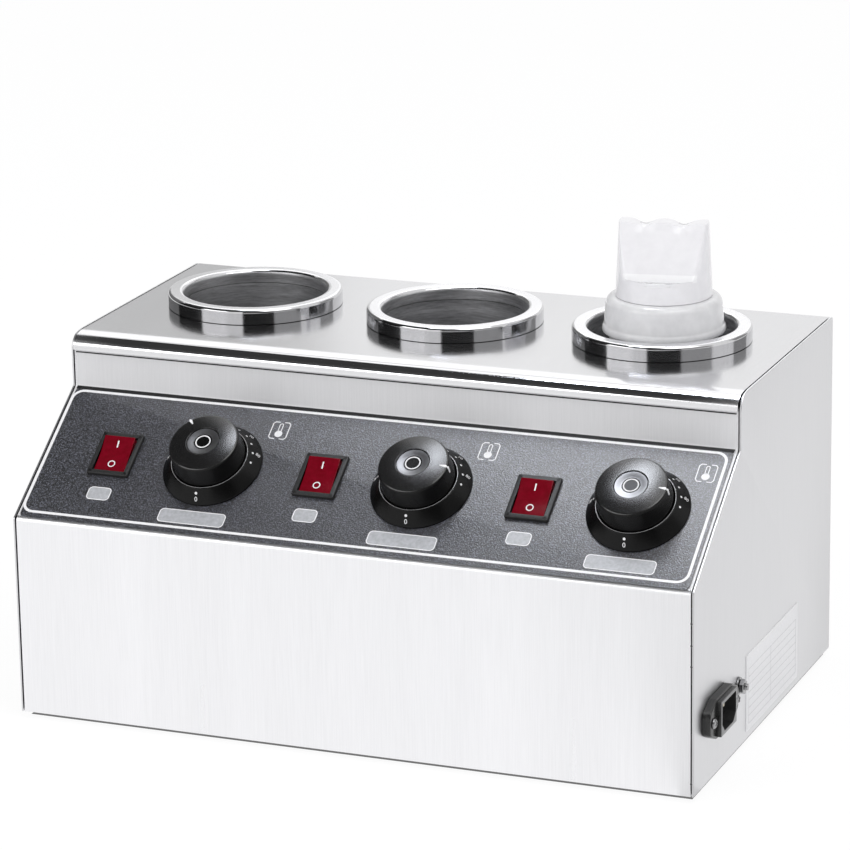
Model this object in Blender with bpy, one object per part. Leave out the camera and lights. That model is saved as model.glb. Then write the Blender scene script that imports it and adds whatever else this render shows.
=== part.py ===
"""Three-well hot fudge topping warmer: a stainless counter cabinet with a sloping control panel.

Metres, +Z up, front towards -Y. The origin is at the middle of the object's footprint, on the counter.
"""
import math

import bmesh
import bpy
from mathutils import Matrix, Vector

# Cabinet
body_width = 0.4000
body_depth = 0.2528
body_height = 0.2007
front_height = 0.1147
slope_run = 0.0804
slope_top_height = 0.1700
sheet = 0.0010
nose_radius = 0.0080
nose_flange = 0.0010
riser_lap = 0.0005
side_flange = 0.0120
rear_flange = 0.0100
bend_steps = 6

# Clearances
gap = 0.0003
seam = 0.0008
hole_play = 0.0006
overrun = 0.0050

# Feet and base vents
foot_height = 0.0040
foot_radius = 0.0095
foot_inset = 0.0300
foot_stem_radius = 0.0030
foot_stem_bulb = 0.0042
foot_stem_height = 0.0045
vent_count = 7
vent_length = 0.0600
vent_width = 0.0050
vent_pitch = 0.0150
vent_offset_y = 0.0500

# Wells, their rim rings and their heaters
well_pitch_share = 0.3125
well_shift = -0.0025
well_y_share = 0.6994
well_bore = 0.04185
well_wall = 0.0008
well_floor_height = 0.0400
well_lip_radius = 0.0470
ring_radius = 0.0509
ring_height = 0.0090
ring_edge = 0.0008
ring_inner_edge = 0.0012
heater_wall = 0.0025
heater_height_share = 0.2800
heater_rise = 0.0150
heater_slit = 0.0080
heater_ear = 0.0100
heater_ear_wall = 0.0030
bulb_radius = 0.0030
bulb_clearance = 0.0150
bulb_drop = 0.0257
bulb_angle = -75.0
capillary_radius = 0.0010

# Control panel
overlay_thickness = 0.0004
overlay_side = 0.0030
overlay_end = 0.0014
overlay_corner = 0.0030
control_line = 0.0500
knob_offset_share = 0.0755
switch_offset_share = -0.07375

# Thermostats, dials and knobs
thermostat_width = 0.0340
thermostat_length = 0.0400
thermostat_depth = 0.0220
bush_radius = 0.0060
shaft_radius = 0.0030
shaft_reach = 0.0150
shaft_foot = 0.0060
dial_radius = 0.0287
dial_edge = 0.0008
dial_height = 0.0088
dial_rim_radius = 0.0224
dial_floor = 0.0015
knob_radius = 0.0210
knob_top_radius = 0.0199
knob_height = 0.0230
knob_edge = 0.0014
knob_play = 0.0006
badge_radius = 0.0090
badge_depth = 0.0012
badge_thickness = 0.0008
badge_ring_radius = 0.0043
badge_ring_width = 0.0009
badge_ring_height = 0.0004
pointer_length = 0.0060
pointer_width = 0.0018
pointer_height = 0.0006
pointer_drop = 0.0060
dial_first_angle = 180.0
dial_step_angle = 16.25
dial_steps = 11
dial_end_angle = dial_first_angle - dial_step_angle * dial_steps
first_pointer_angle = 132.0
pointer_angles = (first_pointer_angle, dial_end_angle, dial_end_angle)

# Rocker switches
bezel_width = 0.0250
bezel_length = 0.0297
bezel_thickness = 0.0020
bezel_edge = 0.0006
switch_body_width = 0.0222
switch_body_length = 0.0270
switch_body_depth = 0.0190
pocket_width = 0.0198
pocket_length = 0.0247
pocket_depth = 0.0098
rocker_width = 0.0190
rocker_length = 0.0228
rocker_rise = 0.0010
rocker_pivot_depth = 0.0030
rocker_dip = 0.0010
rocker_skirt = 0.0015
rocker_nose_width = 0.0060
rocker_nose_depth = 0.0052
rocker_taper = 0.0010
rocker_tilt = 9.0

# Power inlet on the right side
inlet_y = 0.0380
inlet_z = 0.0363
inlet_length = 0.0500
inlet_height = 0.0225
inlet_thickness = 0.0050
inlet_end_height = 0.0120
shroud_length = 0.0272
shroud_height = 0.0203
shroud_reach = 0.0025
socket_length = 0.0240
socket_height = 0.0162
socket_depth = 0.0160
socket_chamfer = 0.0045
inlet_body_depth = 0.0150
pin_width = 0.0040
pin_thickness = 0.0020
pin_length = 0.0110
pin_pitch = 0.0070
pin_offset_z = 0.0020
inlet_screw_pitch = 0.0400
screw_radius = 0.0015
screw_head_radius = 0.0029
screw_head_height = 0.0016
screw_grip = 0.0120

# Earth stud and rating label, also on the right side
stud_y = 0.0772
stud_z = 0.0367
stud_radius = 0.0020
stud_reach = 0.0058
stud_head_radius = 0.0042
stud_head_height = 0.0028
washer_radius = 0.0050
washer_thickness = 0.0009
nut_radius = 0.0044
nut_height = 0.0026
label_front = 0.0910
label_length = 0.0960
label_low = 0.0046
label_height = 0.0447
label_thickness = 0.0002

# Mains terminals and wiring
terminal_length = 0.0420
terminal_width = 0.0200
terminal_height = 0.0160
terminal_x = 0.1200
terminal_y = 0.0550
wire_radius = 0.0022
loom_drop = 0.0300

# Bottle with its screw cap and hood
bottle_radius = 0.0335
bottle_wall = 0.0014
bottle_shift = 0.0012
bottle_floor_round = 0.0040
neck_radius = 0.0290
shoulder_height = 0.0120
cap_low = 0.0055
cap_bead_radius = 0.0348
cap_bead_height = 0.0040
cap_radius = 0.0338
cap_top_radius = 0.0325
cap_height = 0.0205
cap_round = 0.0035
cap_wall = 0.0018
nozzle_foot_radius = 0.0110
nozzle_tip_radius = 0.0055
nozzle_bore = 0.0035
nozzle_height = 0.0250
hood_radius = 0.0273
hood_top_half_width = 0.0252
hood_height = 0.0420
hood_ledge_height = 0.0120
hood_ledge_drop = 0.0030
hood_flat_low = 0.0160
hood_flat_high = 0.0055
hood_wall = 0.0013
hood_scallop = 0.0024
hood_scallop_radius = 0.0065
hood_scallop_spread = 0.0108
hood_turn = 10.0

ring_segments = 40
knob_segments = 32
small_segments = 16

# Places worked out from the sizes above
inlet_reach = inlet_thickness + shroud_reach
mid_x = -inlet_reach / 2
left_x = mid_x - body_width / 2
right_x = mid_x + body_width / 2
front_y = -body_depth / 2
floor_z = foot_height
top_z = floor_z + body_height
slope_rise = slope_top_height - front_height
slope_angle = math.atan2(slope_rise, slope_run)
slope_length = math.hypot(slope_run, slope_rise)
inner_left = left_x + sheet + seam
inner_right = right_x - sheet - seam
inset = sheet + gap
well_pitch = body_width * well_pitch_share
well_y = body_depth * well_y_share
well_depth = body_height - well_floor_height
heater_height = well_depth * heater_height_share
bulb_rise = heater_rise + heater_height + bulb_clearance
bulb_length = well_depth - bulb_rise - bulb_drop
knob_offset = body_width * knob_offset_share
switch_offset = body_width * switch_offset_share
well_xs = [mid_x + well_shift + step * well_pitch for step in (-1, 0, 1)]
well_world_y = front_y + well_y
knob_xs = [mid_x + knob_offset + step * well_pitch for step in (-1, 0, 1)]
switch_xs = [mid_x + switch_offset + step * well_pitch for step in (-1, 0, 1)]
panel_face = gap + overlay_thickness


def material(name, colour, roughness, metallic=0.0, alpha=1.0):
    made = bpy.data.materials.new(name)
    made.use_nodes = True
    shader = made.node_tree.nodes["Principled BSDF"]
    shader.inputs["Base Color"].default_value = (*colour, 1.0)
    shader.inputs["Roughness"].default_value = roughness
    shader.inputs["Metallic"].default_value = metallic
    shader.inputs["Alpha"].default_value = alpha
    made.diffuse_color = (*colour, alpha)
    return made


def finish_object(name, bm, look, smooth=False):
    """Turns a bmesh into a named object with its faces pointing out."""
    bmesh.ops.recalc_face_normals(bm, faces=bm.faces)
    mesh = bpy.data.meshes.new(name)
    bm.to_mesh(mesh)
    bm.free()
    thing = bpy.data.objects.new(name, mesh)
    bpy.context.collection.objects.link(thing)
    if look:
        mesh.materials.append(look)
    if smooth:
        mesh.shade_smooth()
        mesh.set_sharp_from_angle(angle=math.radians(35.0))
    return thing


def turned(name, profile, look, segments=ring_segments):
    """Turns a profile of (radius, height) round local Z; one that starts and ends on the axis is solid."""
    bm = bmesh.new()
    rings = []
    for radius, height in profile:
        if radius == 0:
            rings.append([bm.verts.new((0, 0, height))])
            continue
        ring = []
        for step in range(segments):
            turn = 2 * math.pi * step / segments
            ring.append(bm.verts.new((radius * math.cos(turn), radius * math.sin(turn), height)))
        rings.append(ring)
    pairs = list(zip(rings, rings[1:]))
    if profile[0][0] > 0:
        pairs.append((rings[-1], rings[0]))
    for low, high in pairs:
        for step in range(segments):
            after = (step + 1) % segments
            corners = [low[step % len(low)], low[after % len(low)]]
            corners += [high[after % len(high)], high[step % len(high)]]
            bm.faces.new(list(dict.fromkeys(corners)))
    return finish_object(name, bm, look, smooth=True)


def prism(name, outline, start, end, look, along="x"):
    """Extrudes an outline from start to end: (y, z) along x, (x, z) along y, (x, y) along z."""
    place = {
        "x": lambda a, b, c: (c, a, b),
        "y": lambda a, b, c: (a, c, b),
        "z": lambda a, b, c: (a, b, c),
    }[along]
    bm = bmesh.new()
    low = [bm.verts.new(place(a, b, start)) for a, b in outline]
    high = [bm.verts.new(place(a, b, end)) for a, b in outline]
    bm.faces.new(low)
    bm.faces.new(high)
    for step in range(len(outline)):
        after = (step + 1) % len(outline)
        bm.faces.new((low[step], low[after], high[after], high[step]))
    return finish_object(name, bm, look)


def rectangle(width, length, centre_a=0.0, centre_b=0.0):
    a, b = width / 2, length / 2
    return [(centre_a + s * a, centre_b + t * b) for s, t in ((-1, -1), (1, -1), (1, 1), (-1, 1))]


def rounded(width, length, radius, steps=3, centre_a=0.0, centre_b=0.0):
    """A rectangle with round corners."""
    points = []
    for corner, (s, t) in enumerate(((1, 1), (-1, 1), (-1, -1), (1, -1))):
        for step in range(steps + 1):
            turn = math.radians(90 * corner + 90 * step / steps)
            a = centre_a + s * (width / 2 - radius) + radius * math.cos(turn)
            b = centre_b + t * (length / 2 - radius) + radius * math.sin(turn)
            points.append((a, b))
    return points


def circle(radius, segments, centre_a=0.0, centre_b=0.0):
    turns = [2 * math.pi * step / segments for step in range(segments)]
    return [(centre_a + radius * math.cos(turn), centre_b + radius * math.sin(turn)) for turn in turns]


def box(name, low, high, look):
    outline = [(low[0], low[1]), (high[0], low[1]), (high[0], high[1]), (low[0], high[1])]
    return prism(name, outline, low[2], high[2], look, along="z")


def bent_sheet(path, thickness):
    """Closes a path of bends into the outline of a sheet whose other side lies to the right of the path."""
    inner = []
    for step, point in enumerate(path):
        before = path[max(step - 1, 0)]
        after = path[min(step + 1, len(path) - 1)]
        into = Vector(point) - Vector(before) if step > 0 else Vector(after) - Vector(point)
        out = Vector(after) - Vector(point) if step < len(path) - 1 else into
        into.normalize()
        out.normalize()
        side_in = Vector((into.y, -into.x))
        side_out = Vector((out.y, -out.x))
        mitre = (side_in + side_out).normalized()
        reach = thickness / mitre.dot(side_out)
        inner.append((point[0] + mitre.x * reach, point[1] + mitre.y * reach))
    return list(path) + inner[::-1]


def put(thing, x, y, z, parent=None):
    thing.location = (x, y, z)
    thing.parent = parent
    return thing


def modify(target, tool, operation):
    change = target.modifiers.new(operation.lower(), "BOOLEAN")
    change.operation = operation
    change.solver = "EXACT"
    change.object = tool
    tool.hide_render = True
    tool.display_type = "WIRE"


def cut(target, tool):
    modify(target, tool, "DIFFERENCE")


def join(target, tool):
    modify(target, tool, "UNION")


def arc(centre_a, centre_b, radius, start, end, steps):
    turns = [math.radians(start + (end - start) * step / steps) for step in range(steps + 1)]
    return [(centre_a + radius * math.cos(turn), centre_b + radius * math.sin(turn)) for turn in turns]


def clear_scene():
    for thing in list(bpy.data.objects):
        bpy.data.objects.remove(thing, do_unlink=True)


clear_scene()

steel = material("brushed_steel", (0.74, 0.75, 0.77), 0.32, 1.0)
side_steel = material("satin_side_steel", (0.70, 0.71, 0.74), 0.45, 1.0)
mirror_steel = material("polished_steel", (0.85, 0.85, 0.86), 0.10, 1.0)
well_steel = material("well_steel", (0.62, 0.62, 0.63), 0.30, 1.0)
charcoal = material("charcoal_film", (0.10, 0.10, 0.11), 0.55)
black_plastic = material("black_plastic", (0.02, 0.02, 0.022), 0.25)
dial_plastic = material("dial_plastic", (0.02, 0.02, 0.022), 0.35)
red_plastic = material("red_plastic", (0.30, 0.01, 0.02), 0.20)
chrome = material("chrome", (0.85, 0.85, 0.86), 0.06, 1.0)
rubber = material("black_rubber", (0.03, 0.03, 0.03), 0.80)
brass = material("nickelled_brass", (0.70, 0.66, 0.55), 0.25, 1.0)
mica = material("mica_band", (0.45, 0.42, 0.36), 0.55)
bakelite = material("brown_bakelite", (0.16, 0.09, 0.05), 0.45)
milky = material("milky_plastic", (0.90, 0.91, 0.92), 0.30, alpha=0.75)
paper = material("label_film", (0.80, 0.81, 0.83), 0.50)
wire_cover = material("wire_sleeving", (0.75, 0.74, 0.70), 0.60)
nylon = material("nylon", (0.85, 0.84, 0.80), 0.50)

# The slope carries the controls: local x runs right, y up the slope and z out of it.
slope_frame = bpy.data.objects.new("slope_frame", None)
bpy.context.collection.objects.link(slope_frame)
slope_frame.location = (0, front_y, floor_z + front_height)
slope_frame.rotation_euler = (slope_angle, 0, 0)


def side_outline(inward):
    """The cabinet's outline seen from the side, drawn in by the given amount; the nose is round."""
    low = floor_z + inward
    high = top_z - inward
    front = front_y + inward
    lean = inward * math.tan((math.pi / 2 - slope_angle) / 2)
    riser_y = front_y + slope_run + inward
    slope_foot = floor_z + front_height - lean
    slope_drop = inward / math.cos(slope_angle) - inward * math.tan(slope_angle)
    slope_head = floor_z + slope_top_height - slope_drop
    if inward:
        nose = [(riser_y, top_z - nose_radius), (riser_y + nose_radius - inward, high)]
    else:
        centre = (riser_y + nose_radius, top_z - nose_radius)
        nose = arc(*centre, nose_radius, 180, 90, bend_steps)
    return [
        (front, low),
        (front, slope_foot),
        (riser_y, slope_head),
        *nose,
        (-front_y - inward, high),
        (-front_y - inward, low),
    ]


def make_side_panel(name, outer_x, inward):
    """A side panel: a plate with a flange that runs round inside the other panels."""
    plate = prism(name, side_outline(0), outer_x, outer_x + inward * sheet, side_steel)
    start = outer_x + inward * sheet / 2
    end = outer_x + inward * (sheet + side_flange)
    join(plate, prism(name + "_flange", side_outline(inset), start, end, None))
    face = outer_x + inward * sheet
    cut(plate, prism(name + "_hollow", side_outline(inset + sheet), face, end + inward * overrun, None))
    return plate


def make_front_panel():
    """The front sheet, bent at the foot and the head of the slope."""
    path = [
        (front_y, floor_z),
        (front_y, floor_z + front_height),
        (front_y + slope_run, floor_z + slope_top_height),
        (front_y + slope_run, top_z - nose_radius + riser_lap),
    ]
    panel = prism("front_panel", bent_sheet(path, sheet), inner_left, inner_right, steel)
    low, high = -sheet - overrun, overrun
    for step in range(len(well_xs)):
        hole = circle(bush_radius + hole_play, small_segments)
        bore = prism(f"panel_bore_{step + 1}", hole, low, high, None, along="z")
        cut(panel, put(bore, knob_xs[step], control_line, 0, slope_frame))
        window = rectangle(switch_body_width + hole_play, switch_body_length + hole_play)
        opening = prism(f"panel_window_{step + 1}", window, low, high, None, along="z")
        cut(panel, put(opening, switch_xs[step], control_line, 0, slope_frame))


def make_top_cover():
    """The top sheet: rounded nose, short front flange over the riser, rear flange and three holes."""
    flange_y = front_y + slope_run - inset
    centre = (flange_y + nose_radius, top_z - nose_radius)
    path = [(flange_y, top_z - nose_radius - nose_flange)]
    path += arc(*centre, nose_radius, 180, 90, bend_steps)
    path += [(-front_y, top_z), (-front_y, top_z - rear_flange)]
    cover = prism("top_cover", bent_sheet(path, sheet), inner_left, inner_right, steel)
    for step, x in enumerate(well_xs):
        hole = circle(well_bore + well_wall + hole_play, ring_segments)
        bore = prism(f"cover_bore_{step + 1}", hole, -sheet - overrun, overrun, None, along="z")
        cut(cover, put(bore, x, well_world_y, top_z))


def make_rear_panel():
    low, high = floor_z, top_z - rear_flange - seam
    box("rear_panel", (inner_left, -front_y - sheet, low), (inner_right, -front_y, high), side_steel)


def foot_places():
    reach_x = body_width / 2 - foot_inset
    reach_y = body_depth / 2 - foot_inset
    return [(mid_x + s * reach_x, t * reach_y) for s, t in ((-1, -1), (1, -1), (-1, 1), (1, 1))]


def make_base():
    """The base plate with its vent slots, and the rubber feet pushed up through it."""
    low = (inner_left, front_y + inset, floor_z)
    high = (inner_right, -front_y - inset, floor_z + sheet)
    plate = box("base_plate", low, high, side_steel)
    for step, (x, y) in enumerate(foot_places()):
        hole = circle(foot_stem_radius + gap, small_segments)
        bore = prism(f"foot_bore_{step + 1}", hole, -overrun, sheet + overrun, None, along="z")
        cut(plate, put(bore, x, y, floor_z))
    for row in (-1, 1):
        for step in range(vent_count):
            x = mid_x + (step - (vent_count - 1) / 2) * vent_pitch
            outline = rectangle(vent_width, vent_length)
            slot = prism(f"vent_{row}_{step}", outline, -overrun, sheet + overrun, None, along="z")
            cut(plate, put(slot, x, row * vent_offset_y, floor_z))
    for step, (x, y) in enumerate(foot_places()):
        profile = [
            (0, 0),
            (foot_radius - gap, 0),
            (foot_radius, foot_height - gap),
            (foot_stem_radius, foot_height - gap),
            (foot_stem_radius, foot_height + sheet + gap),
            (foot_stem_bulb, foot_height + sheet + gap),
            (foot_stem_radius, foot_height + foot_stem_height),
            (0, foot_height + foot_stem_height),
        ]
        put(turned(f"foot_{step + 1}", profile, rubber, small_segments), x, y, 0)


def make_overlay():
    """The printed film on the slope, with the same holes as the sheet behind it."""
    width = inner_right - inner_left - overlay_side
    length = slope_length - 2 * overlay_end
    outline = rounded(width, length, overlay_corner)
    film = prism("control_overlay", outline, gap, panel_face, charcoal, along="z")
    put(film, mid_x, slope_length / 2, 0, slope_frame)
    for step in range(len(well_xs)):
        hole = circle(bush_radius + hole_play, small_segments)
        bore = prism(f"film_bore_{step + 1}", hole, -overrun, overrun, None, along="z")
        cut(film, put(bore, knob_xs[step], control_line, 0, slope_frame))
        window = rectangle(switch_body_width + hole_play, switch_body_length + hole_play)
        opening = prism(f"film_window_{step + 1}", window, -overrun, overrun, None, along="z")
        cut(film, put(opening, switch_xs[step], control_line, 0, slope_frame))


def make_well(number, x):
    """One heated well: the spun pot, its polished rim ring and the heater band round it."""
    outer = well_bore + well_wall
    lip_low = body_height + gap
    lip_high = lip_low + well_wall
    pot = [
        (0, well_floor_height),
        (well_bore, well_floor_height),
        (well_bore, lip_high),
        (well_lip_radius, lip_high),
        (well_lip_radius, lip_low),
        (outer, lip_low),
        (outer, well_floor_height - well_wall),
        (0, well_floor_height - well_wall),
    ]
    put(turned(f"well_pot_{number}", pot, well_steel), x, well_world_y, floor_z)
    rebate = lip_high + gap
    high = body_height + ring_height
    ring = [
        (ring_radius, body_height + gap),
        (ring_radius, high - ring_edge),
        (ring_radius - ring_edge, high),
        (well_bore + ring_inner_edge, high),
        (well_bore, high - ring_inner_edge),
        (well_bore, rebate),
        (well_lip_radius + gap, rebate),
        (well_lip_radius + gap, body_height + gap),
    ]
    put(turned(f"well_ring_{number}", ring, mirror_steel), x, well_world_y, floor_z)
    make_heater(number, x, outer + gap)


def make_heater(number, x, inner):
    """A clamped heater band: a split ring with two ears at the back."""
    name = f"heater_band_{number}"
    low = well_floor_height + heater_rise
    high = low + heater_height
    outer = inner + heater_wall
    band = turned(name, [(inner, low), (outer, low), (outer, high), (inner, high)], mica)
    put(band, x, well_world_y, floor_z)
    ears = box(
        name + "_ears",
        (-heater_slit / 2 - heater_ear_wall, inner + heater_wall / 2, low),
        (heater_slit / 2 + heater_ear_wall, inner + heater_wall + heater_ear, high),
        None,
    )
    join(band, put(ears, x, well_world_y, floor_z))
    slit = box(
        name + "_slit",
        (-heater_slit / 2, inner - overrun, low - overrun),
        (heater_slit / 2, inner + heater_wall + heater_ear + overrun, high + overrun),
        None,
    )
    cut(band, put(slit, x, well_world_y, floor_z))


def make_sensor(number, x, knob_x):
    """A thermostat's sensing bulb against the pot, on the capillary that runs back to the thermostat."""
    turn = math.radians(bulb_angle)
    reach = well_bore + well_wall + gap + bulb_radius
    bulb_x = x + reach * math.cos(turn)
    bulb_y = well_world_y + reach * math.sin(turn)
    low = floor_z + well_floor_height + bulb_rise
    high = low + bulb_length
    frame = slope_matrix()
    start = frame @ Vector((knob_x, control_line, -sheet - gap - thermostat_depth - gap))
    below = frame @ Vector((knob_x, control_line, -sheet - gap - thermostat_depth - bulb_length / 4))
    bend = Vector((bulb_x, bulb_y, low - bulb_length / 8))
    route = [start, below, (below + bend) / 2 - Vector((0, 0, bulb_length / 16)), bend]
    route += [Vector((bulb_x, bulb_y, height)) for height in (low, low + bulb_radius, high)]
    shares = [1, 1, 1, 1, 1, bulb_radius / capillary_radius, bulb_radius / capillary_radius]
    tube(f"sensor_bulb_{number}", route, capillary_radius, brass, shares)


def slope_matrix():
    return Matrix.Translation(slope_frame.location) @ Matrix.Rotation(slope_angle, 4, "X")


def tube(name, route, radius, look, shares=None):
    """A round tube along a route of points, closed at both ends."""
    curve = bpy.data.curves.new(name, "CURVE")
    curve.dimensions = "3D"
    curve.bevel_depth = radius
    curve.bevel_resolution = 2
    curve.use_fill_caps = True
    spline = curve.splines.new("POLY")
    spline.points.add(len(route) - 1)
    for step, place in enumerate(route):
        spline.points[step].co = (*place, 1.0)
        spline.points[step].radius = shares[step] if shares else 1.0
    if look:
        curve.materials.append(look)
    round_wire = bpy.data.objects.new(name, curve)
    mesh = bpy.data.meshes.new_from_object(round_wire)
    bpy.data.objects.remove(round_wire)
    thing = bpy.data.objects.new(name, mesh)
    bpy.context.collection.objects.link(thing)
    return thing


def make_control(number, knob_x, pointer_angle):
    """A thermostat with its shaft, fixed dial and turning knob."""
    under = -sheet - gap
    body = prism(
        f"thermostat_{number}",
        rectangle(thermostat_width, thermostat_length),
        under - thermostat_depth,
        under,
        bakelite,
        along="z",
    )
    put(body, knob_x, control_line, 0, slope_frame)
    bush_top = panel_face + gap + dial_floor + gap
    round_bush = circle(bush_radius, small_segments)
    bush = prism(f"bush_{number}", round_bush, under - overrun, bush_top, None, along="z")
    join(body, put(bush, knob_x, control_line, 0, slope_frame))
    well = circle(shaft_radius + gap, small_segments)
    foot = under - shaft_foot - gap
    bore = prism(f"bush_bore_{number}", well, foot, bush_top + overrun, None, along="z")
    cut(body, put(bore, knob_x, control_line, 0, slope_frame))

    floor = panel_face + gap
    dial = [
        (bush_radius + hole_play, floor),
        (dial_radius, floor),
        (dial_radius, floor + dial_edge),
        (dial_rim_radius, dial_height),
        (knob_radius + knob_play, dial_height),
        (knob_radius + knob_play, floor + dial_floor),
        (bush_radius + hole_play, floor + dial_floor),
    ]
    put(turned(f"dial_{number}", dial, dial_plastic, knob_segments), knob_x, control_line, 0, slope_frame)

    low = bush_top + gap
    heel = under - shaft_foot
    axle = [(0, heel), (shaft_radius, heel), (shaft_radius, shaft_reach), (0, shaft_reach)]
    shaft = turned(f"thermostat_shaft_{number}", axle, brass, small_segments)
    put(shaft, knob_x, control_line, 0, slope_frame)

    knob = [
        (0, knob_height - badge_depth),
        (badge_radius + gap, knob_height - badge_depth),
        (badge_radius + gap + badge_depth / 2, knob_height),
        (knob_top_radius - knob_edge, knob_height),
        (knob_top_radius, knob_height - knob_edge),
        (knob_radius, dial_height),
        (knob_radius, low),
        (shaft_radius + gap, low),
        (shaft_radius + gap, shaft_reach + gap),
        (0, shaft_reach + gap),
    ]
    turn = math.radians(pointer_angle)
    handle = turned(f"knob_{number}", knob, black_plastic, knob_segments)
    put(handle, knob_x, control_line, 0, slope_frame)
    handle.rotation_euler = (0, 0, turn)
    rib = box(
        f"knob_pointer_{number}",
        (knob_top_radius - pointer_length, -pointer_width / 2, knob_height - pointer_drop),
        (knob_top_radius + pointer_height, pointer_width / 2, knob_height + pointer_height),
        None,
    )
    rib.rotation_euler = (0, 0, turn)
    join(handle, put(rib, knob_x, control_line, 0, slope_frame))

    seat = knob_height - badge_depth + gap
    face = seat + badge_thickness
    badge = [
        (0, seat),
        (badge_radius, seat),
        (badge_radius, face),
        (badge_ring_radius, face),
        (badge_ring_radius, face + badge_ring_height),
        (badge_ring_radius - badge_ring_width, face + badge_ring_height),
        (badge_ring_radius - badge_ring_width, face),
        (0, face),
    ]
    cap = turned(f"knob_badge_{number}", badge, chrome, knob_segments)
    put(cap, knob_x, control_line, 0, slope_frame)
    cap.rotation_euler = (0, 0, turn)


def make_switch(number, x):
    """A rocker switch: bezel and housing in one, and the rocker on its pivot, pressed at its lower end."""
    low = panel_face + gap
    high = low + bezel_thickness
    outline = rounded(bezel_width, bezel_length, bezel_edge, steps=1)
    housing = prism(f"switch_housing_{number}", outline, low, high, black_plastic, along="z")
    put(housing, x, control_line, 0, slope_frame)
    body = rectangle(switch_body_width, switch_body_length)
    body_top = low + bezel_thickness / 2
    box_part = prism(f"switch_body_{number}", body, -switch_body_depth, body_top, None, along="z")
    join(housing, put(box_part, x, control_line, 0, slope_frame))
    pocket = rectangle(pocket_width, pocket_length)
    hollow = prism(f"switch_pocket_{number}", pocket, high - pocket_depth, high + overrun, None, along="z")
    cut(housing, put(hollow, x, control_line, 0, slope_frame))

    crest = rocker_pivot_depth + rocker_rise
    half = rocker_length / 2
    profile = [
        (-half, crest),
        (0, crest - rocker_dip),
        (half, crest),
        (half - rocker_taper, -rocker_skirt),
        (rocker_nose_width / 2, -rocker_nose_depth),
        (-rocker_nose_width / 2, -rocker_nose_depth),
        (-half + rocker_taper, -rocker_skirt),
    ]
    rocker = prism(f"rocker_{number}", profile, -rocker_width / 2, rocker_width / 2, red_plastic)
    put(rocker, x, control_line, high - rocker_pivot_depth, slope_frame)
    rocker.rotation_euler = (math.radians(rocker_tilt), 0, 0)


def make_inlet(side_panel):
    """The appliance inlet on the right side, with its three pins and two screws."""
    y, z = front_y + inlet_y, floor_z + inlet_z
    half, end = inlet_length / 2, inlet_end_height / 2
    waist, tall = shroud_length / 2, inlet_height / 2
    right_end = [(waist, -tall), (half, -end), (half, end), (waist, tall)]
    flange = right_end + [(-across, up) for across, up in right_end[::-1]]
    housing = prism("power_inlet", flange, gap, inlet_thickness, black_plastic)
    put(housing, right_x, y, z)
    shroud_outline = rectangle(shroud_length, shroud_height)
    shroud = prism("inlet_shroud", shroud_outline, inlet_thickness / 2, inlet_reach, None)
    join(housing, put(shroud, right_x, y, z))
    tail_part = prism("inlet_tail", shroud_outline, -sheet - inlet_body_depth, inlet_thickness / 4, None)
    join(housing, put(tail_part, right_x, y, z))
    a, b = socket_length / 2, socket_height / 2
    right_half = [(a - socket_chamfer, -b), (a, -b + socket_chamfer), (a, b)]
    socket = right_half + [(-across, up) for across, up in right_half[::-1]]
    floor = inlet_reach - socket_depth
    recess = prism("inlet_recess", socket, floor, inlet_reach + overrun, None)
    cut(housing, put(recess, right_x, y, z))

    window = rectangle(shroud_length + hole_play, shroud_height + hole_play)
    opening = prism("inlet_window", window, -sheet - overrun, overrun, None)
    cut(side_panel, put(opening, right_x, y, z))

    pins = {"inlet_pin_line": (-1, 1), "inlet_pin_neutral": (1, 1), "inlet_pin_earth": (0, -1)}
    for name, (across, up) in pins.items():
        pin = prism(name, rectangle(pin_thickness, pin_width), floor + gap, floor + gap + pin_length, brass)
        put(pin, right_x, y + across * pin_pitch, z + up * pin_offset_z)

    for number, way in enumerate((-1, 1)):
        place = (right_x, y + way * inlet_screw_pitch / 2, z)
        for target, label in ((housing, "inlet"), (side_panel, "panel")):
            hole = circle(screw_radius + gap, small_segments)
            high = inlet_thickness + overrun
            bore = prism(f"{label}_screw_bore_{number}", hole, -sheet - overrun, high, None)
            cut(target, put(bore, *place))
        head = inlet_thickness + gap
        screw = [
            (0, head + screw_head_height),
            (screw_head_radius - screw_head_height / 2, head + screw_head_height),
            (screw_head_radius, head + screw_head_height / 2),
            (screw_head_radius, head),
            (screw_radius, head),
            (screw_radius, head - screw_grip),
            (0, head - screw_grip),
        ]
        made = put(turned(f"inlet_screw_{number + 1}", screw, mirror_steel, small_segments), *place)
        made.rotation_euler = (0, math.pi / 2, 0)


def make_earth_stud(side_panel):
    """The earth bonding stud: bolt from inside, washer and nut outside."""
    place = (right_x, front_y + stud_y, floor_z + stud_z)
    bore = prism("stud_bore", circle(stud_radius + gap, small_segments), -sheet - overrun, overrun, None)
    cut(side_panel, put(bore, *place))
    inner = -sheet - gap
    stud = [
        (0, stud_reach),
        (stud_radius, stud_reach),
        (stud_radius, inner),
        (stud_head_radius, inner),
        (stud_head_radius, inner - stud_head_height),
        (0, inner - stud_head_height),
    ]
    parts = [turned("earth_stud", stud, mirror_steel, small_segments)]
    bore_radius = stud_radius + gap
    washer_high = gap + washer_thickness
    washer = [
        (bore_radius, gap),
        (washer_radius, gap),
        (washer_radius, washer_high),
        (bore_radius, washer_high),
    ]
    parts.append(turned("earth_washer", washer, mirror_steel, small_segments))
    low = washer_high + gap
    high = low + nut_height
    nut = [(bore_radius, low), (nut_radius, low), (nut_radius, high), (bore_radius, high)]
    hexagon = 6
    parts.append(turned("earth_nut", nut, mirror_steel, hexagon))
    for part in parts:
        put(part, *place)
        part.rotation_euler = (0, math.pi / 2, 0)


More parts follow.
